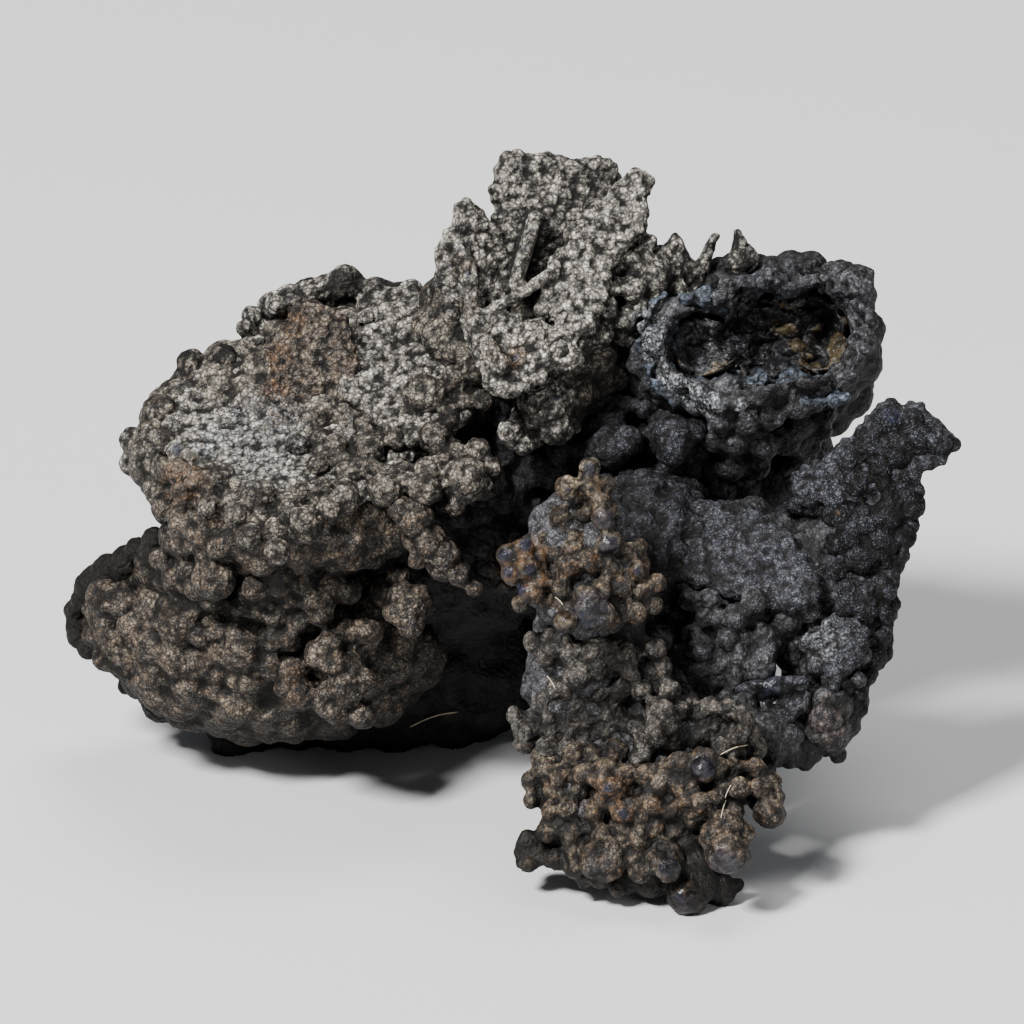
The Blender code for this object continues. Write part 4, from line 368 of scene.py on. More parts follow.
# The hollow: rounded pockets that run into each other
POCKETS = (
    (19.0, 16.6, 5.0, 4.4, 4.2, 5.5),
    (25.5, 17.4, 5.5, 6.8, 5.4, 6.5),
    (30.6, 17.8, 6.0, 4.4, 5.2, 6.0),
)


class Tint(Enum):
    """What a stained place on the crust is stained with, by the mask that it feeds."""

    RUST = "rust"
    BLUE = "blue"
    PALE = "pale"
    TAN = "dust_and_highlight"
    GLOSS = "gloss"


# Stained places, face on: across, up, radius and how strong each is
STAINS = {
    Tint.RUST: (
        (-31.2, 7.1, 0.9, 1), (-32.7, 3.3, 3.2, 0.8), (-22, 19, 1.8, 0.8), (-23.5, 15.5, 1.8, 0.9),
        (-23.8, 12, 1.7, 0.9), (-23, 9.5, 1.6, 0.7), (0.3, 15.4, 1.5, 0.9), (-5.2, 25, 1.5, 0.6),
        (-4.2, 20.5, 1.4, 0.6), (-2, 16, 1.5, 0.5), (1, -5.5, 4, 0.8), (5.8, -5.8, 1.1, 1),
        (8, -4.4, 0.9, 1), (32.6, 0, 0.4, 1), (31.6, -20.8, 3.2, 0.4), (19.1, -26.8, 0.9, 0.6),
        (10.3, -28.7, 3.8, 0.8), (15.8, -29.8, 2.6, 0.8), (20, -32, 2.4, 0.4), (17.4, -37.6, 1.6, 0.6),
        (-22, -17.3, 2.6, 0.6),
    ),
    Tint.BLUE: (
        (-30.6, 7.2, 0.45, 1), (-33.5, 6.2, 0.8, 1), (0.3, 15.4, 0.45, 1), (-5.2, 26.3, 0.4, 1),
        (-4.4, 23.9, 0.45, 1), (-6.2, 24.6, 0.35, 1), (1.3, 26.5, 0.4, 1), (2.1, 28.1, 0.35, 1),
        (4.4, 11.4, 0.5, 1), (-0.7, -4.3, 0.8, 1), (1.3, -3.3, 0.8, 1), (1.8, -5.8, 0.8, 1),
        (-0.4, -6, 0.7, 1), (0.8, -7.8, 0.8, 1), (7.7, 4.3, 0.8, 1), (5.6, 2.2, 0.45, 1),
        (12.5, -5.9, 0.5, 0.8), (8, -9.7, 2.3, 0.7), (9.1, -0.6, 1.2, 0.7), (9.7, -3.3, 1.3, 0.7),
        (38, 9.6, 0.9, 1), (25.4, -17.8, 1.8, 0.3), (19.1, -25.5, 1.6, 0.8), (9.6, -27.6, 0.6, 1),
        (11.2, -30.2, 0.7, 1), (21.3, -34.9, 1.7, 0.7), (17, -39.4, 1.7, 0.7), (9, -35, 2, 0.3),
        (15.6, -35.6, 1.2, 0.8), (14.5, 17, 2.8, 0.3), (26, 23.5, 4, 0.25),
    ),
    Tint.PALE: (
        (-25.1, 7.4, 5.4, 0.5), (-30.4, 7.2, 2, 0.8), (31, -12.6, 2.8, 0.4), (13.5, 19, 1.9, 1),
        (14.5, 16.5, 1.9, 1), (16, 13.8, 1.8, 1), (17.5, 12, 1.6, 1), (20, 10.8, 1.5, 1),
        (23.5, 10.5, 1.4, 1),
    ),
    Tint.TAN: (
        (6.6, 3.2, 2.4, 0.7), (42.8, 7.4, 1.4, 1), (35.8, -8.4, 2.2, 0.6), (-19, -14.6, 2.6, 0.7),
        (-15, -12, 2.2, 0.6), (-38.2, -4.2, 3.2, 0.5), (-33, -10.6, 2.5, 0.5), (2.5, 9.8, 3, 0.5),
    ),
    Tint.GLOSS: (
        (-32.7, 3.3, 3.2, 0.35), (1, -5.5, 4, 0.8), (9.1, -0.6, 1.6, 1), (9.6, -3.3, 1.4, 1),
        (8.6, 2.5, 1.2, 1), (12.5, -5.9, 1.3, 1), (5.3, -11, 1.4, 1), (8.2, -9.8, 2.6, 0.7),
        (25.4, -17.8, 2.2, 1), (19.1, -25.6, 1.8, 1), (21.3, -34.8, 2, 1), (17.4, -39, 2, 1),
        (15.6, -35.6, 1.3, 1),
    ),
}

# Loose fibres, face on: the two ends and how far the middle bows up
FIBRES = (
    ((-10.2, -21.5), (-5.4, -20.0), 0.3), ((3.5, -16.4), (4.3, -17.6), 0.1),
    ((20.8, -24.3), (23.6, -23.3), 0.2), ((21.9, -27.3), (21.3, -28.6), 0.1),
    ((21.4, -28.8), (20.9, -30.6), 0.2),
    ((4.3, -8.5), (5.1, -9.3), 0.1),
)


@dataclass
class Surface:
    """Corners in millimetres, one row each, and faces of three or four corner numbers."""

    corners: np.ndarray
    faces: np.ndarray

    def edges(self) -> np.ndarray:
        """Return both ends of each side of each face."""
        turned = np.roll(self.faces, -1, axis=1)
        return np.stack((self.faces.ravel(), turned.ravel()), axis=1)

    def normals(self) -> np.ndarray:
        """Return each corner's outward direction: its faces' crossed diagonals, added up.

        Returns:
            One row of three numbers for each corner, of length one.
        """
        opposite = 1 if self.faces.shape[1] == 4 else 0
        first = self.corners[self.faces[:, -2]] - self.corners[self.faces[:, 0]]
        second = self.corners[self.faces[:, -1]] - self.corners[self.faces[:, opposite]]
        crossed = np.cross(first, second)
        total = np.zeros_like(self.corners)
        for column in range(self.faces.shape[1]):
            for axis in range(3):
                total[:, axis] += np.bincount(self.faces[:, column], crossed[:, axis], len(total))
        return total / np.maximum(np.linalg.norm(total, axis=1, keepdims=True), 1e-12)

    def averaged(self, values: np.ndarray, rounds: int) -> np.ndarray:
        """Return the values after each corner has taken its neighbours' mean this many times.

        Args:
            values: One row of numbers for each corner.
            rounds: How many times the mean is taken.

        Returns:
            The smoothed values, in the same shape.
        """
        start, end = self.edges().T
        count = np.maximum(np.bincount(end, minlength=len(values)), 1)[:, None]
        smooth = values.reshape(len(values), -1).astype(float)
        for _ in range(rounds):
            totals = [np.bincount(end, column[start], len(values)) for column in smooth.T]
            smooth = np.stack(totals, axis=1) / count
        return smooth.reshape(values.shape)

    def outward(self) -> "Surface":
        """Return the closed triangle surface with its faces outwards.

        The volume is the sum of each face's first corner dotted with the cross of its other two. Where it
        is below zero, every face is turned round.

        Returns:
            The surface, or the same with its faces turned.
        """
        a, b, c = (self.corners[self.faces[:, column]] for column in range(3))
        inside_out = np.einsum("ij,ij->i", a, np.cross(b, c)).sum() < 0.0
        return Surface(self.corners, self.faces[:, ::-1] if inside_out else self.faces)


def joined(surfaces: list[Surface]) -> Surface:
    """Return several surfaces as one, each with its corner numbers moved up past the last one's.

    Args:
        surfaces: Surfaces that all have the same number of corners to a face.

    Returns:
        The one surface.
    """
    starts = np.cumsum([0] + [len(surface.corners) for surface in surfaces[:-1]])
    faces = [surface.faces + start for surface, start in zip(surfaces, starts)]
    return Surface(np.vstack([surface.corners for surface in surfaces]), np.vstack(faces))


def settled(points: np.ndarray) -> np.ndarray:
    """Return face-on places as places of the resting specimen, both in millimetres.

    A place is spread by 1 + back / VIEW_DISTANCE, because what lies further back looks smaller. Then the
    face is leaned back by LEAN, and the whole is moved to where it rests.

    Args:
        points: Rows of across, up and back.

    Returns:
        Rows of x, y and z.
    """
    points = np.asarray(points, dtype=float)
    spread = 1.0 + points[:, 2] / VIEW_DISTANCE
    across, up, back = points[:, 0] * spread, points[:, 1] * spread, points[:, 2]
    rested = np.stack((across, up * math.sin(LEAN) + back * math.cos(LEAN),
                       up * math.cos(LEAN) - back * math.sin(LEAN)), axis=1)
    return rested - np.array(REST_POINT)


def seen(points: np.ndarray) -> np.ndarray:
    """Return resting places as face-on places: the way of settled, backwards.

    Args:
        points: Rows of x, y and z.

    Returns:
        Rows of across, up and back.
    """
    moved = np.asarray(points, dtype=float) + np.array(REST_POINT)
    back = moved[:, 1] * math.cos(LEAN) - moved[:, 2] * math.sin(LEAN)
    up = moved[:, 1] * math.sin(LEAN) + moved[:, 2] * math.cos(LEAN)
    spread = 1.0 + back / VIEW_DISTANCE
    return np.stack((moved[:, 0] / spread, up / spread, back), axis=1)


def closed_rings(rows: int, sides: int) -> np.ndarray:
    """Return the triangles that join rings of corners one to the next and close both ends.

    Args:
        rows: How many rings there are.
        sides: How many corners each ring has.

    Returns:
        Rows of three corner numbers: the rings' corners first, then the one at each end.
    """
    row, side = np.meshgrid(np.arange(rows - 1), np.arange(sides), indexing="ij")
    here = (row * sides + side).ravel()
    beside = (row * sides + (side + 1) % sides).ravel()
    below, across = here + sides, beside + sides
    side = np.arange(sides)
    then, last, count = (side + 1) % sides, (rows - 1) * sides, rows * sides
    return np.vstack((
        np.stack((here, below, across), 1), np.stack((here, across, beside), 1),
        np.stack((np.full(sides, count), side, then), 1),
        np.stack((np.full(sides, count + 1), last + then, last + side), 1),
    ))


def unit_ball(rings: int = BALL_RINGS, sides: int = BALL_SIDES) -> Surface:
    """Return a ball of radius one: rings of latitude by sides of longitude, with closed poles.

    A corner is (sin a cos b, sin a sin b, cos a), for a down the rings and b round the sides.

    Args:
        rings: How many bands of faces lie between the poles.
        sides: How many faces go round each band.

    Returns:
        The ball about the origin, with its faces outwards.
    """
    down = np.linspace(0.0, math.pi, rings + 1)[1:-1]
    round_about = np.linspace(0.0, 2.0 * math.pi, sides, endpoint=False)
    a, b = np.meshgrid(down, round_about, indexing="ij")
    grid = np.stack((np.sin(a) * np.cos(b), np.sin(a) * np.sin(b), np.cos(a)), axis=-1).reshape(-1, 3)
    corners = np.vstack((grid, (0.0, 0.0, 1.0), (0.0, 0.0, -1.0)))
    return Surface(corners, closed_rings(rings - 1, sides))


def balls(bodies: np.ndarray, rings: int = BALL_RINGS, sides: int = BALL_SIDES) -> Surface:
    """Return many balls, each at a face-on place and stretched by its three half sizes.

    Args:
        bodies: A row for each ball: across, up, back, half width, half height and half depth.
        rings: How many bands of faces each ball has.
        sides: How many faces go round each band.

    Returns:
        The balls in the resting place. The face-on axes are mirrored, so the faces are turned round.
    """
    ball = unit_ball(rings, sides)
    bodies = np.asarray(bodies, dtype=float)
    corners = bodies[:, None, :3] + ball.corners[None] * bodies[:, None, 3:]
    faces = ball.faces[None] + (np.arange(len(bodies)) * len(ball.corners))[:, None, None]
    return Surface(settled(corners.reshape(-1, 3)), faces.reshape(-1, 3)[:, ::-1])


def backing(beads: np.ndarray) -> np.ndarray:
    """Return balls that fill between neighbouring beads, a little behind them, as rows for balls().

    Each lies at the mean place of a bead and its nearest BACKING_NEIGHBOURS, moved back by BACKING_SET,
    and its radius is BACKING_SHARE of their mean distance from that place plus their mean radius.

    Args:
        beads: Rows of across, up, back and radius.

    Returns:
        One row for each bead.
    """
    gaps = np.linalg.norm(beads[:, None, :3] - beads[None, :, :3], axis=2)
    nearest = np.argsort(gaps, axis=1)[:, :BACKING_NEIGHBOURS + 1]
    about = beads[nearest]
    middle = about[..., :3].mean(axis=1)
    spread = np.linalg.norm(about[..., :3] - middle[:, None], axis=2).mean(axis=1)
    radius = np.minimum(BACKING_SHARE * (spread + about[..., 3].mean(axis=1)), BACKING_LIMIT)
    middle[:, 2] += BACKING_SET
    return np.column_stack((middle, radius, radius, radius))


def strung(knots: tuple[Lump, ...]) -> list[Lump]:
    """Return beads half a radius apart from knot to knot of a rod, changing radius evenly.

    Args:
        knots: The rod's beads at its ends and bends.

    Returns:
        The rod's beads, in order.
    """
    beads: list[Lump] = []
    for start, end in zip(np.array(knots), np.array(knots)[1:]):
        count = max(2, int(np.linalg.norm(end[:3] - start[:3]) / (0.5 * min(start[3], end[3]))))
        beads += [tuple(row) for row in start + (end - start) * np.linspace(0.0, 1.0, count + 1)[:, None]]
    return beads


def ragged(outline: np.ndarray, seed: int) -> np.ndarray:
    """Return an outline with a point every PLATE_STEP, each moved in or out a little.

    The way out from the middle is scaled by 1 + PLATE_RAG times a sum of two waves and an even random
    number, all along the outline.

    Args:
        outline: Rows of across and up, in order.
        seed: Which random numbers are used.

    Returns:
        The ragged outline, as rows of across and up.
    """
    generator = np.random.default_rng(seed)
    closed = np.vstack((outline, outline[:1]))
    length = np.concatenate(([0.0], np.cumsum(np.linalg.norm(np.diff(closed, axis=0), axis=1))))
    along = np.arange(0.0, length[-1], PLATE_STEP)
    points = np.stack([np.interp(along, length, closed[:, axis]) for axis in (0, 1)], axis=1)
    middle = points.mean(axis=0)
    way = points - middle
    way /= np.maximum(np.linalg.norm(way, axis=1, keepdims=True), 1e-9)
    wave = np.sin(along * 2.3) + 0.6 * np.sin(along * 5.1 + 1.0) + generator.uniform(-0.8, 0.8, len(along))
    return points + way * (PLATE_RAG * wave)[:, None]


def rim_beads(blade: Plate, seed: int) -> np.ndarray:
    """Return small balls along a plate's edge, as rows for balls().

    Args:
        blade: The plate.
        seed: Which random numbers are used.

    Returns:
        One row for each ball.
    """
    through, slope, outline = blade
    generator = np.random.default_rng(seed)
    points = ragged(np.array(outline), seed)[::2]
    back = through[2] + (points - np.array(through[:2])) @ np.array(slope)
    radius = generator.uniform(*RIM_BEAD_RADIUS, len(points))
    return np.column_stack((points, back, radius, radius, radius))


def plate(blade: Plate) -> Surface:
    """Return a flat crystal: its outline moved half its thickness to each side of its sloping plane.

    Both faces are fans about the outline's middle, and a band of faces closes the edge.

    Args:
        blade: A point on the plate, how far it runs back across and up, and its outline.

    Returns:
        The plate in the resting place.
    """
    through, slope, outline = blade
    flat = ragged(np.array(outline), SEED)
    middle = flat.mean(axis=0)
    points = np.vstack((flat, middle))
    back = through[2] + (points - np.array(through[:2])) @ np.array(slope)
    normal = np.array((-slope[0], -slope[1], 1.0))
    normal /= np.linalg.norm(normal)
    face = np.column_stack((points, back))
    corners = np.vstack((face - normal * BLADE_THICKNESS / 2.0, face + normal * BLADE_THICKNESS / 2.0))
    count = len(flat)
    here = np.arange(count)
    then = (here + 1) % count
    far = count + 1
    faces = np.vstack((
        np.stack((here, then, np.full(count, count)), 1),
        np.stack((then + far, here + far, np.full(count, count + far)), 1),
        np.stack((here, here + far, then + far), 1), np.stack((here, then + far, then), 1),
    ))
    return Surface(settled(corners), faces).outward()


def as_mesh(surface: Surface, name: str) -> bpy.types.Mesh:
    """Return a Blender mesh in metres of a surface in millimetres.

    Args:
        surface: The surface.
        name: What the mesh is called.

    Returns:
        The mesh.
    """
    mesh = bpy.data.meshes.new(name)
    size = surface.faces.shape[1]
    mesh.vertices.add(len(surface.corners))
    mesh.vertices.foreach_set("co", (surface.corners * MM).astype(np.float32).ravel())
    mesh.loops.add(surface.faces.size)
    mesh.loops.foreach_set("vertex_index", surface.faces.astype(np.int32).ravel())
    mesh.polygons.add(len(surface.faces))
    mesh.polygons.foreach_set("loop_start", np.arange(0, surface.faces.size, size, dtype=np.int32))
    mesh.update(calc_edges=True)
    return mesh


def placed(name: str, data: bpy.types.ID) -> bpy.types.Object:
    """Return a new object at the origin that holds this mesh, light or camera, linked to the scene.

    Args:
        name: What the object is called.
        data: What it holds.

    Returns:
        The object.
    """
    item = bpy.data.objects.new(name, data)
    bpy.context.scene.collection.objects.link(item)
    return item


def masked(item: bpy.types.Object, masks: dict[str, np.ndarray]) -> None:
    """Give an object's mesh its masks, each as one number for each corner.

    Args:
        item: The object.
        masks: Numbers from 0 to 1, by the mask's name.
    """
    for name, values in masks.items():
        layer = item.data.attributes.new(name, "FLOAT", "POINT")
        layer.data.foreach_set("value", values.astype(np.float32))


def fused(surface: Surface, step: float, name: str) -> Surface:
    """Return one skin round everything in a surface, made of squares of this step in millimetres.

    Args:
        surface: Closed shapes that may run into each other.
        step: The side of a square.
        name: What the object is called while it is made.

    Returns:
        The skin, as faces of four corners.
    """
    item = placed(name, as_mesh(surface, name))
    remesh = item.modifiers.new("fuse", "REMESH")
    remesh.mode = "VOXEL"
    remesh.voxel_size = step * MM
    remesh.adaptivity = 0.0
    shown = item.evaluated_get(bpy.context.evaluated_depsgraph_get())
    mesh = bpy.data.meshes.new_from_object(shown)
    corners = np.empty(len(mesh.vertices) * 3, dtype=np.float32)
    mesh.vertices.foreach_get("co", corners)
    faces = np.empty(len(mesh.loops), dtype=np.int32)
    mesh.loops.foreach_get("vertex_index", faces)
    bpy.data.objects.remove(item, do_unlink=True)
    bpy.data.meshes.remove(mesh)
    return outer_skins(Surface(corners.reshape(-1, 3).astype(float) / MM, faces.reshape(-1, 4)))


def outer_skins(surface: Surface) -> Surface:
    """Return a surface without its sealed inner cavities and its crumbs.

    Corners joined by edges share the lowest corner number among them. A shell's volume is the sum of
    corner, crossed with the next two, and a sealed void's is below zero.

    Args:
        surface: Closed shells, with faces of four corners.

    Returns:
        The shells that are kept.
    """
    label = np.arange(len(surface.corners))
    start, end = surface.edges().T
    while True:
        low = np.minimum(label[start], label[end])
        new = label.copy()
        np.minimum.at(new, label[start], low)
        np.minimum.at(new, label[end], low)
        new = new[new]
        if np.array_equal(new, label):
            break
        label = new
    a, b, c, d = (surface.corners[surface.faces[:, k]] for k in range(4))
    volume = np.einsum("ij,ij->i", a, np.cross(b, c) + np.cross(c, d)) / 6.0
    total = np.bincount(label[surface.faces[:, 0]], volume, len(label))
    kept = total[label] > CRUMB_VOLUME
    number = np.cumsum(kept) - 1
    faces = surface.faces[kept[surface.faces[:, 0]]]
    return Surface(surface.corners[kept], number[faces])


def hashed(cells: np.ndarray, seed: int) -> np.ndarray:
    """Return three even numbers from 0 to 1 for each whole-number cell, by mixing its digits.

    Args:
        cells: Rows of three whole numbers.
        seed: Which pattern is made.

    Returns:
        Rows of three numbers from 0 to 1.
    """
    mixed = (cells * np.array(CELL_PRIMES)).T
    mixed = mixed[0] ^ mixed[1] ^ mixed[2] ^ (seed * SEED_PRIME)
    numbers = []
    for _ in range(3):
        mixed = (mixed * 1103515245 + 12345) & 0x7FFFFFFF
        mixed = mixed ^ (mixed >> 13)
        numbers.append((mixed & 0xFFFFF) / 0xFFFFF)
    return np.stack(numbers, axis=1)


def domes(points: np.ndarray, size: float, seed: int) -> tuple[np.ndarray, np.ndarray]:
    """Return a field of round domes, one about each of a jittered grid of middles.

    The height is sqrt(1 - (d / DOME_RADIUS)^2), for d the distance to the nearest middle in dome sizes, so
    domes meet in sharp seams. The second value is a number from 0 to 1 that is the dome's own.

    Args:
        points: Places in millimetres, one row each.
        size: How far apart the domes' middles are.
        seed: Which pattern is made.

    Returns:
        The height from 0 to 1 and the dome's own number, for each place.
    """
    scaled = points / size
    base = np.floor(scaled).astype(np.int64)
    nearest = np.full(len(points), 9.0)
    own = np.zeros(len(points))
    for step in product((-1, 0, 1), repeat=3):
        cell = base + np.array(step)
        jitter = hashed(cell, seed)
        distance = np.linalg.norm(scaled - cell - jitter, axis=1)
        closer = distance < nearest
        nearest = np.where(closer, distance, nearest)
        own = np.where(closer, jitter[:, 0], own)
    return np.sqrt(np.clip(1.0 - (nearest / DOME_RADIUS) ** 2, 0.0, 1.0)), own


def carved(surface: Surface, inset: float = 0.0) -> Surface:
    """Return a surface pushed back out of the hollow's pockets.

    In front of a pocket's far side, a corner moves back to it: back + depth sqrt(1 - x^2 - y^2), for x and
    y the place across and up in the pocket's half sizes.

    Args:
        surface: The surface, in its resting place.
        inset: How much smaller than its half sizes each pocket is taken, in millimetres.

    Returns:
        The surface with its corners moved.
    """
    places = seen(surface.corners)
    for across, up, back, wide, high, deep in POCKETS:
        reach = ((places[:, 0] - across) / (wide - inset)) ** 2 + ((places[:, 1] - up) / (high - inset)) ** 2
        far = back + (deep - inset) * np.sqrt(np.clip(1.0 - reach, 0.0, 1.0))
        inside = (reach < 1.0) & (places[:, 2] < far) & (places[:, 2] > back - 2.0 * deep)
        places[:, 2] = np.where(inside, far, places[:, 2])
    return Surface(settled(places), surface.faces)


Fed = bpy.types.NodeSocket | float | tuple[float, float, float, float]


class Sheet:
    """A node tree being filled, from left to right."""

    def __init__(self, tree: bpy.types.NodeTree) -> None:
        """Keep the tree, and where its next node goes."""
        self.tree = tree
        self.place = 0.0

    def add(self, kind: str, **settings: object) -> bpy.types.Node:
        """Return a new node of this kind with its settings made.

        Args:
            kind: The node's type.
            **settings: Its properties, by name.

        Returns:
            The node.
        """
        node = self.tree.nodes.new(kind)
        node.location = (self.place, 0.0)
        self.place += 180.0
        for name, value in settings.items():
            setattr(node, name, value)
        return node

    def join(self, start: bpy.types.NodeSocket, end: bpy.types.NodeSocket) -> None:
        """Link one socket to another."""
        self.tree.links.new(start, end)

    def feed(self, value: Fed, socket: bpy.types.NodeSocket) -> None:
        """Link a socket to another one, or give it a value of its own.

        Args:
            value: The other socket, or the value.
            socket: The socket that is fed.
        """
        if isinstance(value, bpy.types.NodeSocket):
            self.join(value, socket)
        else:
            socket.default_value = value

    def maths(self, operation: str, first: Fed, second: Fed, clamp: bool = False) -> bpy.types.NodeSocket:
        """Return the result of a sum on two sockets or numbers.

        Args:
            operation: Which sum is done.
            first: Its first term.
            second: Its second term.
            clamp: Whether the result is held between 0 and 1.

        Returns:
            The result's socket.
        """
        node = self.add("ShaderNodeMath", operation=operation, use_clamp=clamp)
        self.feed(first, node.inputs[0])
        self.feed(second, node.inputs[1])
        return node.outputs[0]

    def mixed(self, amount: Fed, first: Fed, second: Fed, blend: str = "MIX") -> bpy.types.NodeSocket:
        """Return two colours mixed by an amount.

        Args:
            amount: How much of the second colour is taken.
            first: The first colour.
            second: The second colour.
            blend: How they are mixed.

        Returns:
            The colour's socket.
        """
        node = self.add("ShaderNodeMix", data_type="RGBA", blend_type=blend)
        for socket, value in (("Factor", amount), (6, first), (7, second)):
            self.feed(value, node.inputs[socket])
        return node.outputs[2]

    def noise(self, place: bpy.types.NodeSocket, size: float, detail: float) -> bpy.types.NodeSocket:
        """Return cloudy noise with features of this size in millimetres.

        Args:
            place: Where each point is.
            size: How large the clouds are.
            detail: How many finer layers are added.

        Returns:
            The noise's socket, about 0.5.
        """
        node = self.add("ShaderNodeTexNoise")
        node.inputs["Scale"].default_value = 1.0 / (size * MM)
        node.inputs["Detail"].default_value = detail
        self.join(place, node.inputs["Vector"])
        return node.outputs["Fac"]

    def seams(self, place: bpy.types.NodeSocket, size: float) -> bpy.types.NodeSocket:
        """Return how far each point is from the seams of cells of this size in millimetres.

        Args:
            place: Where each point is.
            size: How far apart the cells are.

        Returns:
            The distance's socket, in cells.
        """
        node = self.add("ShaderNodeTexVoronoi", feature="DISTANCE_TO_EDGE")
        node.inputs["Scale"].default_value = 1.0 / (size * MM)
        self.join(place, node.inputs["Vector"])
        return node.outputs["Distance"]

    def line(self, value: bpy.types.NodeSocket, slope: float, start: float) -> bpy.types.NodeSocket:
        """Return a value times a slope, with a start added.

        Args:
            value: The value's socket.
            slope: What it is multiplied by.
            start: What is added.

        Returns:
            The result's socket.
        """
        node = self.add("ShaderNodeMath", operation="MULTIPLY_ADD")
        self.join(value, node.inputs[0])
        node.inputs[1].default_value = slope
        node.inputs[2].default_value = start
        return node.outputs[0]

    def steep(self, value: bpy.types.NodeSocket, low: float, high: float) -> bpy.types.NodeSocket:
        """Return a value spread from low..high to 0..1 and held there.

        Args:
            value: The value's socket.
            low: What becomes 0.
            high: What becomes 1.

        Returns:
            The result's socket.
        """
        node = self.add("ShaderNodeMapRange")
        node.inputs["From Min"].default_value = low
        node.inputs["From Max"].default_value = high
        self.join(value, node.inputs["Value"])
        return node.outputs["Result"]


# The sizes of the finest growth, in millimetres, and the painted shade at the bottom of a gap
CLOUD_SIZE = 4.0
PATCH_SIZE = 1.1
PEBBLE = 0.95
GRANULE = 0.45
GRAIN_SIZE = 0.28
SPECK_SIZE = 0.15
BUMP_DEPTH = 0.20
BUMP_STRENGTH = 0.8
PAINTED_SHADE_COLOUR = (0.004, 0.0035, 0.003, 1.0)
PAINTED_SHADE_COVER = 0.96

# Masks: painted shade, dusting with painted highlight, rust, blue, pale and gloss
MASKS = ("Painted_shade", "Dust_and_highlight", "Rust", "Blue", "Pale", "Gloss")
# The palest colour also colours the painted glints
COLOURS = ("Dark", "Mid", "Tan", "Ochre", "Cobalt", "Lace_and_glint")


def skin_group() -> bpy.types.ShaderNodeTree:
    """Return the shared node group that turns the crust's masks into colour with painted shade and highlight,
    roughness and height.

    Returns:
        The node group, with the sockets named in MASKS and COLOURS.
    """
    group = bpy.data.node_groups.new("crust_skin", "ShaderNodeTree")
    for name in MASKS:
        group.interface.new_socket(name, in_out="INPUT", socket_type="NodeSocketFloat")
    for name in COLOURS:
        group.interface.new_socket(name, in_out="INPUT", socket_type="NodeSocketColor")
    group.interface.new_socket("Color", in_out="OUTPUT", socket_type="NodeSocketColor")
    group.interface.new_socket("Roughness", in_out="OUTPUT", socket_type="NodeSocketFloat")
    group.interface.new_socket("Height", in_out="OUTPUT", socket_type="NodeSocketFloat")
    sheet = Sheet(group)
    given = sheet.add("NodeGroupInput").outputs
    place = sheet.add("ShaderNodeTexCoord").outputs["Object"]
    cloud = sheet.noise(place, CLOUD_SIZE, 4.0)
    patch = sheet.noise(place, PATCH_SIZE, 4.0)
    grain = sheet.noise(place, GRAIN_SIZE, 3.0)
    speck = sheet.noise(place, SPECK_SIZE, 2.0)
    pebbles, granules = sheet.seams(place, PEBBLE), sheet.seams(place, GRANULE)
    kept = sheet.line(given["Gloss"], -0.7, 1.0)
    # Painted shade and highlight: each pebble and granule is darker at its seams and lighter in its middle,
    # with fine lighter specks
    painted_cell_shading = sheet.maths("MULTIPLY", sheet.line(sheet.steep(pebbles, 0.0, 0.22), 0.95, 0.28),
                       sheet.line(sheet.steep(granules, 0.0, 0.26), 1.35, 0.20))
    painted_cell_shading = sheet.maths("MULTIPLY", painted_cell_shading, sheet.line(sheet.steep(speck, 0.35, 0.65), 0.7, 0.65))
    painted_cell_shading = sheet.line(sheet.maths("MULTIPLY", sheet.line(painted_cell_shading, 1.0, -1.0), kept), 1.0, 1.0)
    colour = sheet.mixed(sheet.steep(cloud, 0.35, 0.68), given["Dark"], given["Mid"])
    # Dusting, with painted highlight where the surface faces the key light and on the pebbles' highest points
    dust_and_highlight_share = sheet.maths("MULTIPLY", given["Dust_and_highlight"], sheet.steep(patch, 0.30, 0.60), True)
    colour = sheet.mixed(dust_and_highlight_share, colour, given["Tan"])
    rusty = sheet.maths("MULTIPLY", given["Rust"], sheet.steep(patch, 0.34, 0.58), True)
    colour = sheet.mixed(rusty, colour, given["Ochre"])
    laced = sheet.maths("MULTIPLY", given["Pale"], sheet.steep(grain, 0.43, 0.53), True)
    colour = sheet.mixed(laced, colour, given["Lace_and_glint"])
    colour = sheet.mixed(sheet.maths("MULTIPLY", given["Blue"], 0.85), colour, given["Cobalt"])
    colour = sheet.mixed(1.0, colour, painted_cell_shading, "MULTIPLY")
    # Painted glints: fine specks in the palest colour
    painted_glint = sheet.maths("MULTIPLY", sheet.steep(speck, 0.57, 0.66), sheet.line(kept, 0.30, 0.0))
    colour = sheet.mixed(painted_glint, colour, given["Lace_and_glint"])
    # Painted shade: near black in gaps, seams and sunk places
    colour = sheet.mixed(sheet.maths("MULTIPLY", given["Painted_shade"], PAINTED_SHADE_COVER, True), colour, PAINTED_SHADE_COLOUR)
    shine = sheet.maths("MULTIPLY", given["Gloss"], 0.54)
    sparkle = sheet.maths("MULTIPLY", sheet.steep(grain, 0.56, 0.70), 0.25)
    rough = sheet.maths("SUBTRACT", sheet.maths("SUBTRACT", 0.80, shine), sparkle, True)
    relief = sheet.maths("ADD", sheet.steep(pebbles, 0.0, 0.34), sheet.maths("MULTIPLY", granules, 0.9))
    height = sheet.maths("MULTIPLY", sheet.maths("ADD", relief, sheet.maths("MULTIPLY", speck, 0.35)), kept)
    leaving = sheet.add("NodeGroupOutput").inputs
    for name, socket in (("Color", colour), ("Roughness", rough), ("Height", height)):
        sheet.join(socket, leaving[name])
    return group


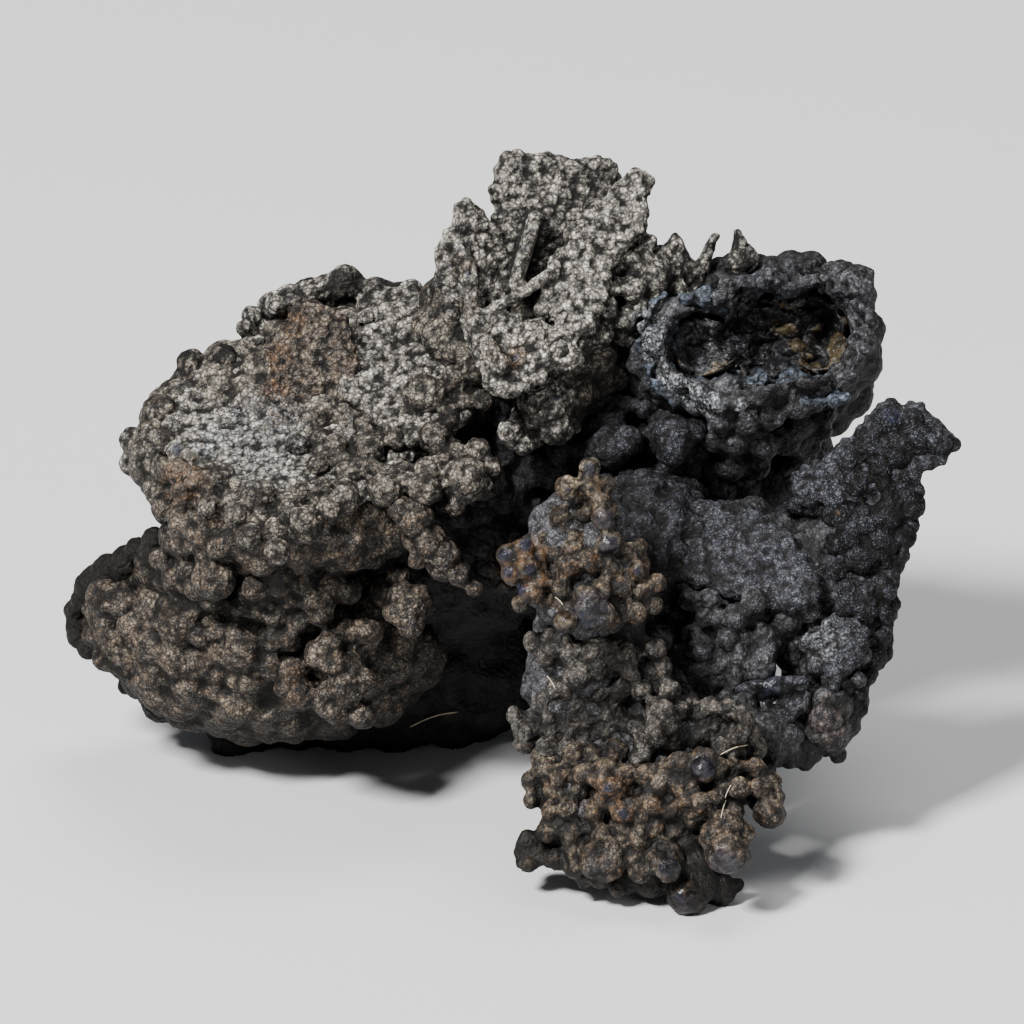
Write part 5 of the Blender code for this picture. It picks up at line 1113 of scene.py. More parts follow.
@dataclass(frozen=True)
class CrustFinish:
    """A finish of the crust: its colours, how strong its dusting and painted highlight are, and how glossy it
    is.
    """

    name: str
    dark: tuple[float, float, float] = (0.014, 0.013, 0.013)
    mid: tuple[float, float, float] = (0.045, 0.041, 0.038)
    tan: tuple[float, float, float] = (0.19, 0.155, 0.115)
    ochre: tuple[float, float, float] = (0.095, 0.043, 0.014)
    cobalt: tuple[float, float, float] = (0.010, 0.014, 0.033)
    # Pale colour of the lacy beads, and of the painted glints
    lace_and_glint: tuple[float, float, float] = (0.36, 0.37, 0.38)
    dust_and_highlight: float = 0.5
    gloss: float = 0.1
    rust: float = 0.1
    specular: float = 0.2

    def material(self) -> bpy.types.Material:
        """Return the finish as a material, made on first use.

        Returns:
            The material.
        """
        if self.name in bpy.data.materials:
            return bpy.data.materials[self.name]
        material = bpy.data.materials.new(self.name)
        material.use_nodes = True
        sheet = Sheet(material.node_tree)
        shader = material.node_tree.nodes["Principled BSDF"]
        shader.inputs["Specular IOR Level"].default_value = self.specular
        group = bpy.data.node_groups.get("crust_skin") or skin_group()
        skin = sheet.add("ShaderNodeGroup", node_tree=group)
        for mask in MASKS:
            read = sheet.add("ShaderNodeAttribute", attribute_name=mask.lower())
            sheet.join(read.outputs["Fac"], skin.inputs[mask])
        for colour in COLOURS:
            skin.inputs[colour].default_value = (*getattr(self, colour.lower()), 1.0)
        bump = sheet.add("ShaderNodeBump")
        bump.inputs["Strength"].default_value = BUMP_STRENGTH
        bump.inputs["Distance"].default_value = BUMP_DEPTH * MM
        sheet.join(skin.outputs["Height"], bump.inputs["Height"])
        sheet.join(skin.outputs["Color"], shader.inputs["Base Color"])
        sheet.join(skin.outputs["Roughness"], shader.inputs["Roughness"])
        sheet.join(bump.outputs["Normal"], shader.inputs["Normal"])
        return material


DUSTY = CrustFinish("dusty_crust", dust_and_highlight=1.0, mid=(0.050, 0.045, 0.040), tan=(0.56, 0.515, 0.44), gloss=0.05)
TAWNY = CrustFinish("tawny_crust", dust_and_highlight=0.80, mid=(0.042, 0.036, 0.030), tan=(0.40, 0.35, 0.275), gloss=0.08,
                    rust=0.22)
EARTHY = CrustFinish("earthy_crust", dust_and_highlight=0.60, mid=(0.034, 0.027, 0.021), tan=(0.29, 0.235, 0.17),
                     gloss=0.15, rust=0.35)
# A darker, bluer copy of the crust for darker parts, most of them in shade: partly painted shade
SHADED = CrustFinish("shaded_crust", dust_and_highlight=0.42, dark=(0.006, 0.006, 0.008), mid=(0.014, 0.0145, 0.020),
                     tan=(0.13, 0.13, 0.155), gloss=0.2, rust=0.0, specular=0.18)
SLATY = CrustFinish("slaty_crust", dust_and_highlight=0.38, dark=(0.007, 0.007, 0.009), mid=(0.018, 0.0185, 0.024),
                    tan=(0.25, 0.25, 0.262), gloss=0.28, rust=0.06, specular=0.25)
UMBER = CrustFinish("umber_crust", dust_and_highlight=0.45, dark=(0.008, 0.0075, 0.0075), mid=(0.021, 0.020, 0.0205),
                    tan=(0.17, 0.158, 0.145), gloss=0.2, rust=0.08)
SMOKY = CrustFinish("smoky_crust", dust_and_highlight=0.42, dark=(0.007, 0.0065, 0.006), mid=(0.017, 0.0155, 0.014),
                    tan=(0.36, 0.325, 0.275), gloss=0.3, rust=0.22, specular=0.22)
# A darker copy of the shaded crust again, for the wing where the key light falls strongly: painted shade
DEEPER_SHADED = CrustFinish("deeper_shaded_crust", dust_and_highlight=0.34, dark=(0.004, 0.004, 0.0055), mid=(0.009, 0.0095, 0.013),
                   tan=(0.07, 0.07, 0.085), gloss=0.2, rust=0.0, specular=0.13)
BRONZED = CrustFinish("bronzed_crust", dust_and_highlight=0.44, dark=(0.004, 0.0035, 0.0035), mid=(0.011, 0.009, 0.008),
                      tan=(0.40, 0.32, 0.215), gloss=0.3, rust=0.45, specular=0.22)
LACY = CrustFinish("lacy_crust", dust_and_highlight=0.55, dark=(0.008, 0.009, 0.012), mid=(0.020, 0.024, 0.034),
                   tan=(0.20, 0.25, 0.32), gloss=0.35, rust=0.0, specular=0.3)
DRUSY = CrustFinish("drusy_skin", dust_and_highlight=0.5, dark=(0.002, 0.002, 0.003), mid=(0.010, 0.008, 0.006),
                    tan=(0.20, 0.14, 0.065), ochre=(0.20, 0.12, 0.04), gloss=0.4, specular=0.3)


# How the painted shade in gaps and seams, the dusting with its painted highlight, and the stains are found on
# the crust
NORMAL_ROUNDS = 3
NEAR_ROUNDS = 4
WIDE_ROUNDS = 40
MEAN_DOME = 0.75
SEAM_HEIGHT = 0.66
SEAM_SLOPE = 2.8
# The way to the key light: the dusting is lighter on what faces it, a painted highlight
DUST_AND_LIGHT_FROM = (-0.25, -0.35, 0.90)
RUSTY_PEBBLES = 0.58
STAIN_EDGE = 1.6
BLUE_GLOSS = 0.65

# How far past the solid model's box a corner may lie, as a share of it, and the gap above the floor
BOX_SPARE = 0.02
FLOOR_GAP = 0.02


@dataclass
class Relief:
    """The front of the whole crust as a grid of depths, to tell how far a place is sunk into it for the
    painted shade.
    """

    cell: float = 0.5
    half: float = 50.0
    spread: int = 9
    full_depth: float = 4.5
    start: float = 0.5
    mean: np.ndarray = field(init=False, default=None)

    def take(self, places: np.ndarray) -> None:
        """Keep the mean depth of the crust's front about each cell.

        A cell's depth is the least back of its places, and the mean is over a square of cells, twice.

        Args:
            places: Rows of across, up and back.
        """
        count = int(2.0 * self.half / self.cell)
        column, row = self.cells(places, count)
        depth = np.full((count, count), np.inf)
        np.minimum.at(depth, (column, row), places[:, 2])
        known = np.isfinite(depth)
        depth, weight = np.where(known, depth, 0.0), known.astype(float)
        for _ in range(2):
            depth, weight = self.squared(depth), self.squared(weight)
        self.mean = np.where(weight > 1e-6, depth / np.maximum(weight, 1e-6), 0.0)

    def squared(self, values: np.ndarray) -> np.ndarray:
        """Return each cell's sum over the square of cells about it, from running totals.

        Args:
            values: A number for each cell.

        Returns:
            The sum for each cell.
        """
        for axis in (0, 1):
            width = [(0, 0), (0, 0)]
            width[axis] = (self.spread + 1, self.spread)
            total = np.cumsum(np.pad(values, width), axis=axis)
            count = values.shape[axis]
            far = np.take(total, np.arange(count) + 2 * self.spread + 1, axis=axis)
            values = far - np.take(total, np.arange(count), axis=axis)
        return values

    def cells(self, places: np.ndarray, count: int) -> tuple[np.ndarray, np.ndarray]:
        """Return the grid column and row of each face-on place."""
        index = np.clip(((places[:, :2] + self.half) / self.cell).astype(int), 0, count - 1)
        return index[:, 0], index[:, 1]

    def sunk(self, places: np.ndarray) -> np.ndarray:
        """Return how far each place is sunk below the mean, from 0 to 1."""
        column, row = self.cells(places, len(self.mean))
        return np.clip((places[:, 2] - self.mean[column, row] + self.start) / self.full_depth, 0.0, 1.0)


@dataclass(frozen=True)
class Pebbles:
    """One layer of pebbled growth: how far apart the pebbles are, and how high they stand."""

    size: float
    height: float


@dataclass
class CrustPatch:
    """A patch of crust: what it is grown from, how finely it is made, and its finish."""

    name: str
    finish: CrustFinish
    lumps: tuple[Lump, ...] = ()
    masses: tuple[Mass, ...] = ()
    plates: tuple[Plate, ...] = ()
    rods: tuple[tuple[Lump, ...], ...] = ()
    step: float = 0.25
    pebbles: tuple[Pebbles, ...] = (Pebbles(1.9, 0.16), Pebbles(1.0, 0.20), Pebbles(0.56, 0.09))
    pocket_inset: float = 0.7
    # How strongly painted shade darkens the patch where it is sunk behind the crust's front
    sunk_shade: float = 1.0
    node: str = "botryoidal_mass"
    surface: Surface = field(init=False, default=None)
    seams: np.ndarray = field(init=False, default=None)
    own: np.ndarray = field(init=False, default=None)
    lit_tops: np.ndarray = field(init=False, default=None)

    def parts(self) -> list[Surface]:
        """Return the closed shapes that the patch is grown from.

        Returns:
            Closed surfaces that may run into each other.
        """
        beads = list(self.lumps)
        for knots in self.rods:
            beads += strung(knots)
        shapes = [balls([(*bead[:3], bead[3], bead[3], bead[3]) for bead in beads])] if beads else []
        if len(self.lumps) > BACKING_NEIGHBOURS:
            shapes.append(balls(backing(np.array(self.lumps))))
        if self.masses:
            shapes.append(balls(self.masses))
        shapes += [plate(blade) for blade in self.plates]
        rims = [rim_beads(blade, SEED + index) for index, blade in enumerate(self.plates)]
        return shapes + ([balls(np.vstack(rims), SMALL_BALL_RINGS, SMALL_BALL_SIDES)] if rims else [])

    def build(self) -> bpy.types.Object:
        """Return the patch as an object: fused, carved, pebbled and cut flat below.

        Returns:
            The object, still without its masks and finish.
        """
        surface = carved(fused(joined(self.parts()), self.step, self.name), self.pocket_inset)
        places, normals = surface.corners, surface.normals()
        base = surface.averaged(normals, NORMAL_ROUNDS)
        base /= np.maximum(np.linalg.norm(base, axis=1, keepdims=True), 1e-9)
        raised = np.zeros(len(places))
        seams = np.zeros(len(places))
        own = np.zeros(len(places))
        # Painted highlight: the dusting is lighter on the pebbles' highest points
        lit_tops = np.ones(len(places))
        for index, layer in enumerate(self.pebbles):
            height, number = domes(places, layer.size, SEED + index)
            lit_tops = lit_tops * (0.45 + 0.65 * height ** 2)
            raised += layer.height * (height - MEAN_DOME)
            seams = np.maximum(seams, np.clip((SEAM_HEIGHT - height) * SEAM_SLOPE, 0.0, 1.0))
            own = own + number / len(self.pebbles)
        surface.corners = places + base * raised[:, None]
        surface.corners = self.kept_inside(surface.corners)
        self.surface, self.seams, self.own, self.lit_tops = surface, seams, own, lit_tops
        return placed(self.name, as_mesh(surface, self.name))

    def kept_inside(self, corners: np.ndarray) -> np.ndarray:
        """Return the corners cut flat where the specimen rests, and held to the solid model's box.

        Args:
            corners: Rows of x, y and z, in millimetres.

        Returns:
            The corners, held inside.
        """
        low, high = (np.array(corner) / MM for corner in CAD_BOX)
        spare = BOX_SPARE * (high - low)
        floor = low - spare
        floor[2] = FLOOR_GAP
        return np.clip(corners, floor, high + spare)

    def masks(self, relief: "Relief") -> dict[str, np.ndarray]:
        """Return the crust's masks from 0 to 1, one number for each corner.

        Painted shade is how far a corner lies below the mean of those about it, near and wide, with the seams
        between pebbles and how far it is sunk behind the whole crust's front. Dusting with painted highlight
        lies where the surface faces up and a little towards the key light, most on pebbles' highest points. A
        stain fades from its middle as 1 - (distance / radius)^2, on what faces the viewer.

        Args:
            relief: The front of the whole crust.

        Returns:
            The masks, by name.
        """
        surface, seams, own = self.surface, self.seams, self.own
        normals = surface.normals()
        near, wide = (((surface.averaged(surface.corners, rounds) - surface.corners) * normals).sum(axis=1)
                      for rounds in (NEAR_ROUNDS, WIDE_ROUNDS))
        towards = -np.array((0.0, math.cos(LEAN), -math.sin(LEAN)))
        facing = np.clip(normals @ towards * 2.5 + 0.4, 0.0, 1.0)
        # Painted shade: darker in gaps, in the seams between pebbles, and where sunk behind the crust's front
        painted_shade = np.clip(near * 9.0, 0.0, 1.0) * 0.8 + np.clip(wide * 1.3, 0.0, 1.0) * 0.75 + seams * 0.8
        painted_shade += self.sunk_shade * relief.sunk(seen(surface.corners)) * facing
        # Painted highlight: the dusting is lighter where the surface faces up towards the key light
        lit = normals @ np.array(DUST_AND_LIGHT_FROM)
        masks = {
            "painted_shade": painted_shade,
            "dust_and_highlight": self.finish.dust_and_highlight * np.clip(0.45 + 0.80 * lit, 0.0, 1.0) * (0.75 + 0.6 * own) * self.lit_tops,
            "rust": self.finish.rust * np.maximum(own > RUSTY_PEBBLES, 1.4 * seams),
            "blue": np.zeros(len(own)),
            "pale": np.zeros(len(own)),
            "gloss": self.finish.gloss * (0.5 + own),
        }
        places = seen(surface.corners)
        for tint, stains in STAINS.items():
            for across, up, radius, strength in stains:
                distance = np.hypot(places[:, 0] - across, places[:, 1] - up) / radius
                amount = strength * np.clip(1.0 - distance ** 2, 0.0, 1.0) * facing
                masks[tint.value] = np.maximum(masks[tint.value], np.clip(STAIN_EDGE * amount, 0.0, strength))
        masks["gloss"] = np.maximum(masks["gloss"], BLUE_GLOSS * masks["blue"])
        return {name: np.clip(values, 0.0, 1.0) for name, values in masks.items()}

    def dress(self, item: bpy.types.Object, relief: "Relief") -> None:
        """Give the object its masks and finish, hide the solid model's part that it stands for, and hang it
        on the root body.

        Args:
            item: The patch's object.
            relief: The front of the whole crust.
        """
        masked(item, self.masks(relief))
        item.data.polygons.foreach_set("use_smooth", np.ones(len(item.data.polygons), dtype=bool))
        item.data.materials.append(self.finish.material())
        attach(item, "root")
        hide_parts(self.node)


# How the main masses are covered with beads
BACK_BEADS_PER_AREA = 0.16
BACK_BEAD_RADIUS = (1.5, 2.7)
BACK_BEAD_LIMIT = -0.15
CORE_BEAD_SINK = 0.12
BACK_BEAD_FULL_SIZE = 7.0
COVER_WANDER = 0.05
BURIED_REACH = 0.86


@dataclass
class BeadedSheet(CrustPatch):
    """A sloping ledge of the crust that is strewn with small beads of many sizes."""

    beads: int = 420
    radius: tuple[float, float] = (0.28, 0.85)

    def parts(self) -> list[Surface]:
        """Return the ledges with their beads, each at a random place inside its ledge's outline.

        A place is inside where the angles that it sees between the outline's points add up to a full turn.

        Returns:
            Closed surfaces that may run into each other.
        """
        generator = np.random.default_rng(SEED + 11)
        rows = []
        for through, slope, outline in self.plates:
            ring = np.array(outline)
            places = generator.uniform(ring.min(axis=0), ring.max(axis=0), (self.beads * 2, 2))
            ways = ring[None] - places[:, None]
            angle = np.arctan2(ways[..., 1], ways[..., 0])
            step = np.diff(np.concatenate((angle, angle[:, :1]), axis=1), axis=1)
            turned = ((step + math.pi) % (2.0 * math.pi) - math.pi).sum(axis=1)
            places = places[np.abs(turned) > math.pi][:self.beads]
            back = through[2] + (places - np.array(through[:2])) @ np.array(slope) - 0.5
            size = self.radius[0] + (self.radius[1] - self.radius[0]) * generator.random(len(places)) ** 2
            rows.append(np.column_stack((places, back, size, size, size)))
        return super().parts() + [balls(np.vstack(rows), SMALL_BALL_RINGS, SMALL_BALL_SIDES)]


@dataclass(frozen=True)
class BeadCover:
    """An even cover of beads: how many to a square millimetre, and their least and greatest radius."""

    per_area: float
    radius: tuple[float, float]


@dataclass
class CoreMass(CrustPatch):
    """Main masses under the crust, covered with beads in front and larger ones behind."""

    covers: tuple[BeadCover, ...] = (BeadCover(0.07, (1.5, 2.2)), BeadCover(0.24, (0.9, 1.45)))

    def spiral(self, mass: Mass, per_area: float, radius: tuple[float, float], generator: np.random.Generator,
               wander: float) -> tuple[np.ndarray, np.ndarray]:
        """Return beads over one mass in the spiral of a seed head, and how far each faces back.

        Args:
            mass: The place and half sizes of the mass.
            per_area: How many beads there are to the product of two half sizes.
            radius: The least and greatest radius of a bead.
            generator: Where the radii and the wandering come from.
            wander: How far a bead strays from the spiral, in parts of the mass's half sizes.

        Returns:
            Rows of across, up, back and radius, and the depth part of each bead's direction.
        """
        place, half = np.array(mass[:3]), np.array(mass[3:])
        count = int(per_area * (half[0] * half[1] + half[1] * half[2] + half[0] * half[2]))
        index = np.arange(count)
        level = 1.0 - 2.0 * (index + 0.5) / count
        ring, angle = np.sqrt(1.0 - level ** 2), index * math.pi * (3.0 - math.sqrt(5.0))
        way = np.stack((ring * np.cos(angle), level, ring * np.sin(angle)), axis=1)
        way += generator.normal(0.0, wander, way.shape)
        way /= np.linalg.norm(way, axis=1, keepdims=True)
        size = generator.uniform(*radius, count) * min(1.0, half.min() / BACK_BEAD_FULL_SIZE)
        places = place + way * half * (1.0 - CORE_BEAD_SINK * size[:, None] / half)
        return np.column_stack((places, size)), way[:, 2]

    def parts(self) -> list[Surface]:
        """Return the masses, the front's beads that no other mass buries, and the far side's beads.

        Returns:
            Closed surfaces that may run into each other.
        """
        generator = np.random.default_rng(SEED)
        rows = []
        for mass in self.masses:
            behind, depth = self.spiral(mass, BACK_BEADS_PER_AREA, BACK_BEAD_RADIUS, generator, 0.0)
            rows.append(behind[depth > BACK_BEAD_LIMIT])
            for cover in self.covers:
                beads, _ = self.spiral(mass, 4.0 * cover.per_area, cover.radius, generator, COVER_WANDER)
                for other in MASSES:
                    if other is not mass:
                        reach = (beads[:, :3] - np.array(other[:3])) / np.array(other[3:])
                        beads = beads[(reach ** 2).sum(axis=1) > BURIED_REACH]
                rows.append(beads)
        beads = np.vstack(rows)
        bodies = np.column_stack((beads, beads[:, 3], beads[:, 3]))
        return [balls(self.masses), balls(bodies, SMALL_BALL_RINGS, SMALL_BALL_SIDES)]


@dataclass
class CrownPatch(CrustPatch):
    """The upright plates of the crown, one of them edge on, with the rods that grew across them."""

    edge_middle: tuple[float, float, float] = (1.3, 26.0, 0.0)
    edge_size: tuple[float, float, float] = (1.4, 8.5, 6.5)
    edge_tip: float = math.radians(-16.0)

    def parts(self) -> list[Surface]:
        """Return the crown's shapes with the plate that stands edge on, tipped sideways.

        Returns:
            Closed surfaces that may run into each other.
        """
        ball = unit_ball()
        square = np.sign(ball.corners) * np.abs(ball.corners) ** 0.35
        sized = square * np.array(self.edge_size) / 2.0
        turned = np.column_stack((
            sized[:, 0] * math.cos(self.edge_tip) - sized[:, 1] * math.sin(self.edge_tip),
            sized[:, 0] * math.sin(self.edge_tip) + sized[:, 1] * math.cos(self.edge_tip), sized[:, 2]))
        edge_on = Surface(settled(turned + np.array(self.edge_middle)), ball.faces[:, ::-1])
        return super().parts() + [edge_on]


@dataclass
class HollowLining:
    """The thin drusy bowl inside the hollow, as a grid of angles by distances from its middle."""

    middle: tuple[float, float] = (25.0, 17.3)
    gap: float = 0.35
    thickness: float = 1.0
    sides: int = 220
    rings: int = 36
    rim: float = 5.0
    rag: float = 0.28
    growth: tuple[tuple[float, int], ...] = ((0.75, 5), (0.38, 6), (2.3, 7), (1.3, 9))
    finish: CrustFinish = DRUSY

    def edge(self, inset: float) -> np.ndarray:
        """Return how far each direction runs before it leaves every pocket.

        A direction from the middle leaves a pocket at the larger root of its quadratic in that pocket's
        half sizes, and the furthest root of all pockets is the bowl's edge.

        Args:
            inset: How much smaller than its half sizes each pocket is taken.

        Returns:
            A distance from the middle for each side.
        """
        angle = np.linspace(0.0, 2.0 * math.pi, self.sides, endpoint=False)
        furthest = np.zeros(self.sides)
        for across, up, _, wide, high, _ in POCKETS:
            wide, high = wide - inset, high - inset
            x, y = (self.middle[0] - across) / wide, (self.middle[1] - up) / high
            u, v = np.cos(angle) / wide, np.sin(angle) / high
            a, b, c = u ** 2 + v ** 2, 2.0 * (u * x + v * y), x ** 2 + y ** 2 - 1.0
            inner = b ** 2 - 4.0 * a * c
            root = (-b + np.sqrt(np.maximum(inner, 0.0))) / (2.0 * a)
            furthest = np.maximum(furthest, np.where(inner > 0.0, root, 0.0))
        wave = np.sin(5.0 * angle) + 0.8 * np.sin(11.0 * angle + 1.3) + 0.6 * np.sin(23.0 * angle + 0.4)
        return furthest - self.rag * (1.2 + wave * 0.5)

    def bowl(self, inset: float) -> np.ndarray:
        """Return the bowl's wall as rings of places: the pockets' far side, furthest back of all.

        Args:
            inset: How much smaller than its half sizes each pocket is taken.

        Returns:
            Across, up and back, by ring and side.
        """
        angle = np.linspace(0.0, 2.0 * math.pi, self.sides, endpoint=False)
        share = np.sin(np.linspace(0.0, 1.0, self.rings + 1)[1:] * math.pi / 2.0)
        distance = share[:, None] * self.edge(inset)[None] * 0.999
        across = self.middle[0] + distance * np.cos(angle)
        up = self.middle[1] + distance * np.sin(angle)
        back = np.full(across.shape, self.rim)
        for x, y, z, wide, high, deep in POCKETS:
            reach = ((across - x) / (wide - inset)) ** 2 + ((up - y) / (high - inset)) ** 2
            far = z + (deep - inset) * np.sqrt(np.clip(1.0 - reach, 0.0, 1.0))
            deeper = np.where(reach < 1.0, far, self.rim)
            nearer = np.minimum(back, deeper)
            back = nearer + np.log(np.exp(back - nearer) + np.exp(deeper - nearer)) - 0.35
        return np.stack((across, up, back), axis=-1)

    def build(self) -> bpy.types.Object:
        """Return the lining: an outer and a rough inner wall that meet along the rim.

        Returns:
            The lining's object.
        """
        outer, inner = self.bowl(self.gap), self.bowl(self.gap + self.thickness)
        grain, fine, lumpy, ledges = (domes(inner.reshape(-1, 3), size, SEED + step)[0]
                                      for size, step in self.growth)
        rough = (1.5 * lumpy ** 2 + 1.1 * ledges ** 2 + 0.45 * grain + 0.15 * fine).reshape(inner.shape[:2])
        inner[..., 2] -= rough
        aside = np.stack((lumpy - ledges, grain - lumpy), axis=1).reshape(*inner.shape[:2], 2)
        inner[..., :2] += 0.35 * aside
        walls = np.concatenate((outer, inner[::-1]))
        corners = np.vstack((walls.reshape(-1, 3), outer[0].mean(axis=0), inner[0].mean(axis=0)))
        surface = Surface(settled(corners), closed_rings(len(walls), self.sides)).outward()
        item = placed("hollow_lining", as_mesh(surface, "hollow_lining"))
        turned = grain.reshape(inner.shape[:2])[::-1].ravel()
        self.dress(item, corners, np.concatenate((np.zeros(turned.size), turned, (0.0, 0.0))))
        return item

    def dress(self, item: bpy.types.Object, places: np.ndarray, grain: np.ndarray) -> None:
        """Give the lining its masks: pale at the rim, golden in patches, with painted shade where it is deep
        and between its grains.

        Args:
            item: The lining's object.
            places: Its corners, face on.
            grain: How high each corner stands in the finest growth, from 0 to 1.
        """
        deep = np.clip((places[:, 2] - self.rim) / 6.0, 0.0, 1.0)
        patches, number = domes(places, 2.6, SEED + 8)
        # Painted shade: darker where the bowl is deep and between its grains
        masks = {
            "painted_shade": np.clip(0.55 * deep + 0.9 * (1.0 - grain), 0.0, 1.0), "dust_and_highlight": 0.7 * (number > 0.62),
            "rust": 0.9 * (number > 0.75) * patches, "blue": 0.2 * (number < 0.3),
            "pale": np.clip(1.0 - 5.0 * deep, 0.0, 1.0) * 0.3, "gloss": 0.6 * np.ones(len(deep)),
        }
        masked(item, masks)
        item.data.materials.append(self.finish.material())
        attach(item, "root")
        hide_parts("vug_lining")


@dataclass
class RimLace(CrustPatch):
    """The knobbly fringe of small beads that grew round the hollow's rim and hides the lining's edge."""

    start: float = math.radians(140.0)
    end: float = math.radians(325.0)
    rows: int = 6
    beads_a_row: int = 60
    radius: tuple[float, float] = (0.35, 0.8)
    width: float = 3.0
    depth: tuple[float, float] = (2.2, 5.8)
    stray: tuple[float, float] = (0.28, 0.45)

    def parts(self) -> list[Surface]:
        """Return rows of beads along the hollow's edge, each bead moved a random way off its row.

        The rows follow the edge, moved out or in by two waves of the angle.

        Returns:
            Closed surfaces that may run into each other.
        """
        generator = np.random.default_rng(SEED + 3)
        lining = HollowLining()
        grid = np.linspace(0.0, 2.0 * math.pi, lining.sides, endpoint=False)
        angle = np.linspace(self.start, self.end, self.beads_a_row)
        edge = np.interp(angle, grid, lining.edge(0.0), period=2.0 * math.pi)
        edge += 0.40 * np.sin(5.0 * angle) + 0.35 * np.sin(9.0 * angle + 1.0)
        rows = []
        for row in range(self.rows):
            share = row / (self.rows - 1)
            far = edge + self.width * (share - 0.25) + generator.normal(0.0, self.stray[0], len(edge))
            back = np.interp(share, (0.0, 1.0), self.depth[::-1])
            back = back + generator.normal(0.0, self.stray[1], len(edge))
            size = generator.uniform(*self.radius, len(edge))
            rows.append(np.column_stack((lining.middle[0] + far * np.cos(angle),
                                         lining.middle[1] + far * np.sin(angle), back, size, size, size)))
        return [balls(np.vstack(rows), SMALL_BALL_RINGS, SMALL_BALL_SIDES)]


@dataclass
class Fibres:
    """Loose pale fibres that lie on the crust."""

    radius: float = 0.055
    stations: int = 14
    sides: int = 6
    clearance: float = 0.25
    reach: tuple[float, float] = (-30.0, 40.0)

    def build(self, patches: list[CrustPatch]) -> bpy.types.Object:
        """Return the fibres as closed tubes, laid on the nearest crust behind each place.

        A fibre runs straight from end to end face on and bows by sin of its way along. Its depth is where
        a line from the viewer first meets the crust, smoothed along the fibre.

        Args:
            patches: The crust that they lie on.

        Returns:
            The fibres' object.
        """
        crust = joined([patch.surface for patch in patches])
        tree = BVHTree.FromPolygons(crust.corners.tolist(), crust.faces.tolist())
        tubes = [self.tube(self.laid(tree, *fibre)) for fibre in FIBRES]
        item = placed("fibres", as_mesh(joined(tubes), "fibres"))
        material = bpy.data.materials.new("pale_fibre")
        material.use_nodes = True
        sheet = Sheet(material.node_tree)
        shader = material.node_tree.nodes["Principled BSDF"]
        shader.inputs["Roughness"].default_value = 0.5
        place = sheet.add("ShaderNodeTexCoord").outputs["Object"]
        ramp = sheet.add("ShaderNodeValToRGB")
        ramp.color_ramp.elements[0].color = (0.42, 0.30, 0.14, 1.0)
        ramp.color_ramp.elements[1].color = (0.70, 0.66, 0.58, 1.0)
        sheet.join(sheet.noise(place, 3.0, 2.0), ramp.inputs["Fac"])
        sheet.join(ramp.outputs["Color"], shader.inputs["Base Color"])
        item.data.materials.append(material)
        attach(item, "root")
        return item

    def laid(self, tree: BVHTree, start: tuple[float, float], end: tuple[float, float],
             bow: float) -> np.ndarray:
        """Return a fibre's middle line, laid just in front of the crust.

        Args:
            tree: The crust's faces.
            start: Its first end, face on.
            end: Its other end.
            bow: How far its middle bows up.

        Returns:
            Rows of x, y and z along it.
        """
        share = np.linspace(0.0, 1.0, self.stations)
        line = np.array(start) + (np.array(end) - np.array(start)) * share[:, None]
        line[:, 1] += bow * np.sin(math.pi * share)
        near, far = (settled(np.column_stack((line, np.full(self.stations, back)))) for back in self.reach)
        backs = []
        for first, last in zip(near, far):
            hit = tree.ray_cast(Vector(first), Vector(last - first).normalized())[0]
            backs.append(np.nan if hit is None else seen(np.array([hit]))[0, 2])
        backs = np.array(backs)
        known = ~np.isnan(backs)
        backs = np.interp(share, share[known], backs[known])
        backs = np.minimum(backs, np.convolve(np.pad(backs, 2, "edge"), np.ones(5) / 5.0, "valid"))
        return settled(np.column_stack((line, backs - self.clearance)))

    def tube(self, line: np.ndarray) -> Surface:
        """Return a closed tube about a line, its ring of sides carried along and drawn in at both ends.

        Args:
            line: Rows of x, y and z along the fibre.

        Returns:
            The tube, with its faces outwards.
        """
        along = np.gradient(line, axis=0)
        along /= np.linalg.norm(along, axis=1, keepdims=True)
        side = np.cross(along, (0.0, 0.0, 1.0))
        side /= np.maximum(np.linalg.norm(side, axis=1, keepdims=True), 1e-9)
        over = np.cross(side, along)
        angle = np.linspace(0.0, 2.0 * math.pi, self.sides, endpoint=False)
        width = self.radius * np.where(np.arange(len(line)) % (len(line) - 1) == 0, 0.4, 1.0)
        ring = (np.cos(angle)[None, :, None] * side[:, None] + np.sin(angle)[None, :, None] * over[:, None])
        corners = np.vstack(((line[:, None] + ring * width[:, None, None]).reshape(-1, 3), line[0], line[-1]))
        return Surface(corners, closed_rings(len(line), self.sides)).outward()


# The dusted ledges, as plates, and the main masses that each core is made of
SHELF_TOP = ((-25.0, 7.0, 0.9), (0.0, 0.90), (
    (-33.6, 12.0), (-35.0, 8.0), (-33.2, 4.2), (-28.0, 2.4), (-22.0, 0.2), (-16.0, 1.0), (-11.0, 4.0),
    (-9.0, 8.6), (-12.0, 12.6), (-18.0, 13.6), (-24.0, 14.6), (-29.0, 15.0)))
MIDDLE_TOP = ((-10.0, 13.0, 3.2), (0.0, 0.75), (
    (-17.0, 12.0), (-16.0, 17.5), (-11.0, 20.0), (-6.0, 18.6), (-3.4, 14.0), (-5.0, 9.0), (-10.0, 7.0)))
UPPER_MASSES = (MASSES[0], MASSES[2], MASSES[3])
LEFT_MASSES = (MASSES[1], MASSES[13], MASSES[14])
MIDDLE_MASSES = (MASSES[4], MASSES[15])
SHOULDER_MASSES = (MASSES[17],)
RIGHT_MASSES = (MASSES[5], MASSES[12], MASSES[16])
HOLLOW_MASSES = MASSES[7:12]
FRONT_MASSES = MASSES[18:]


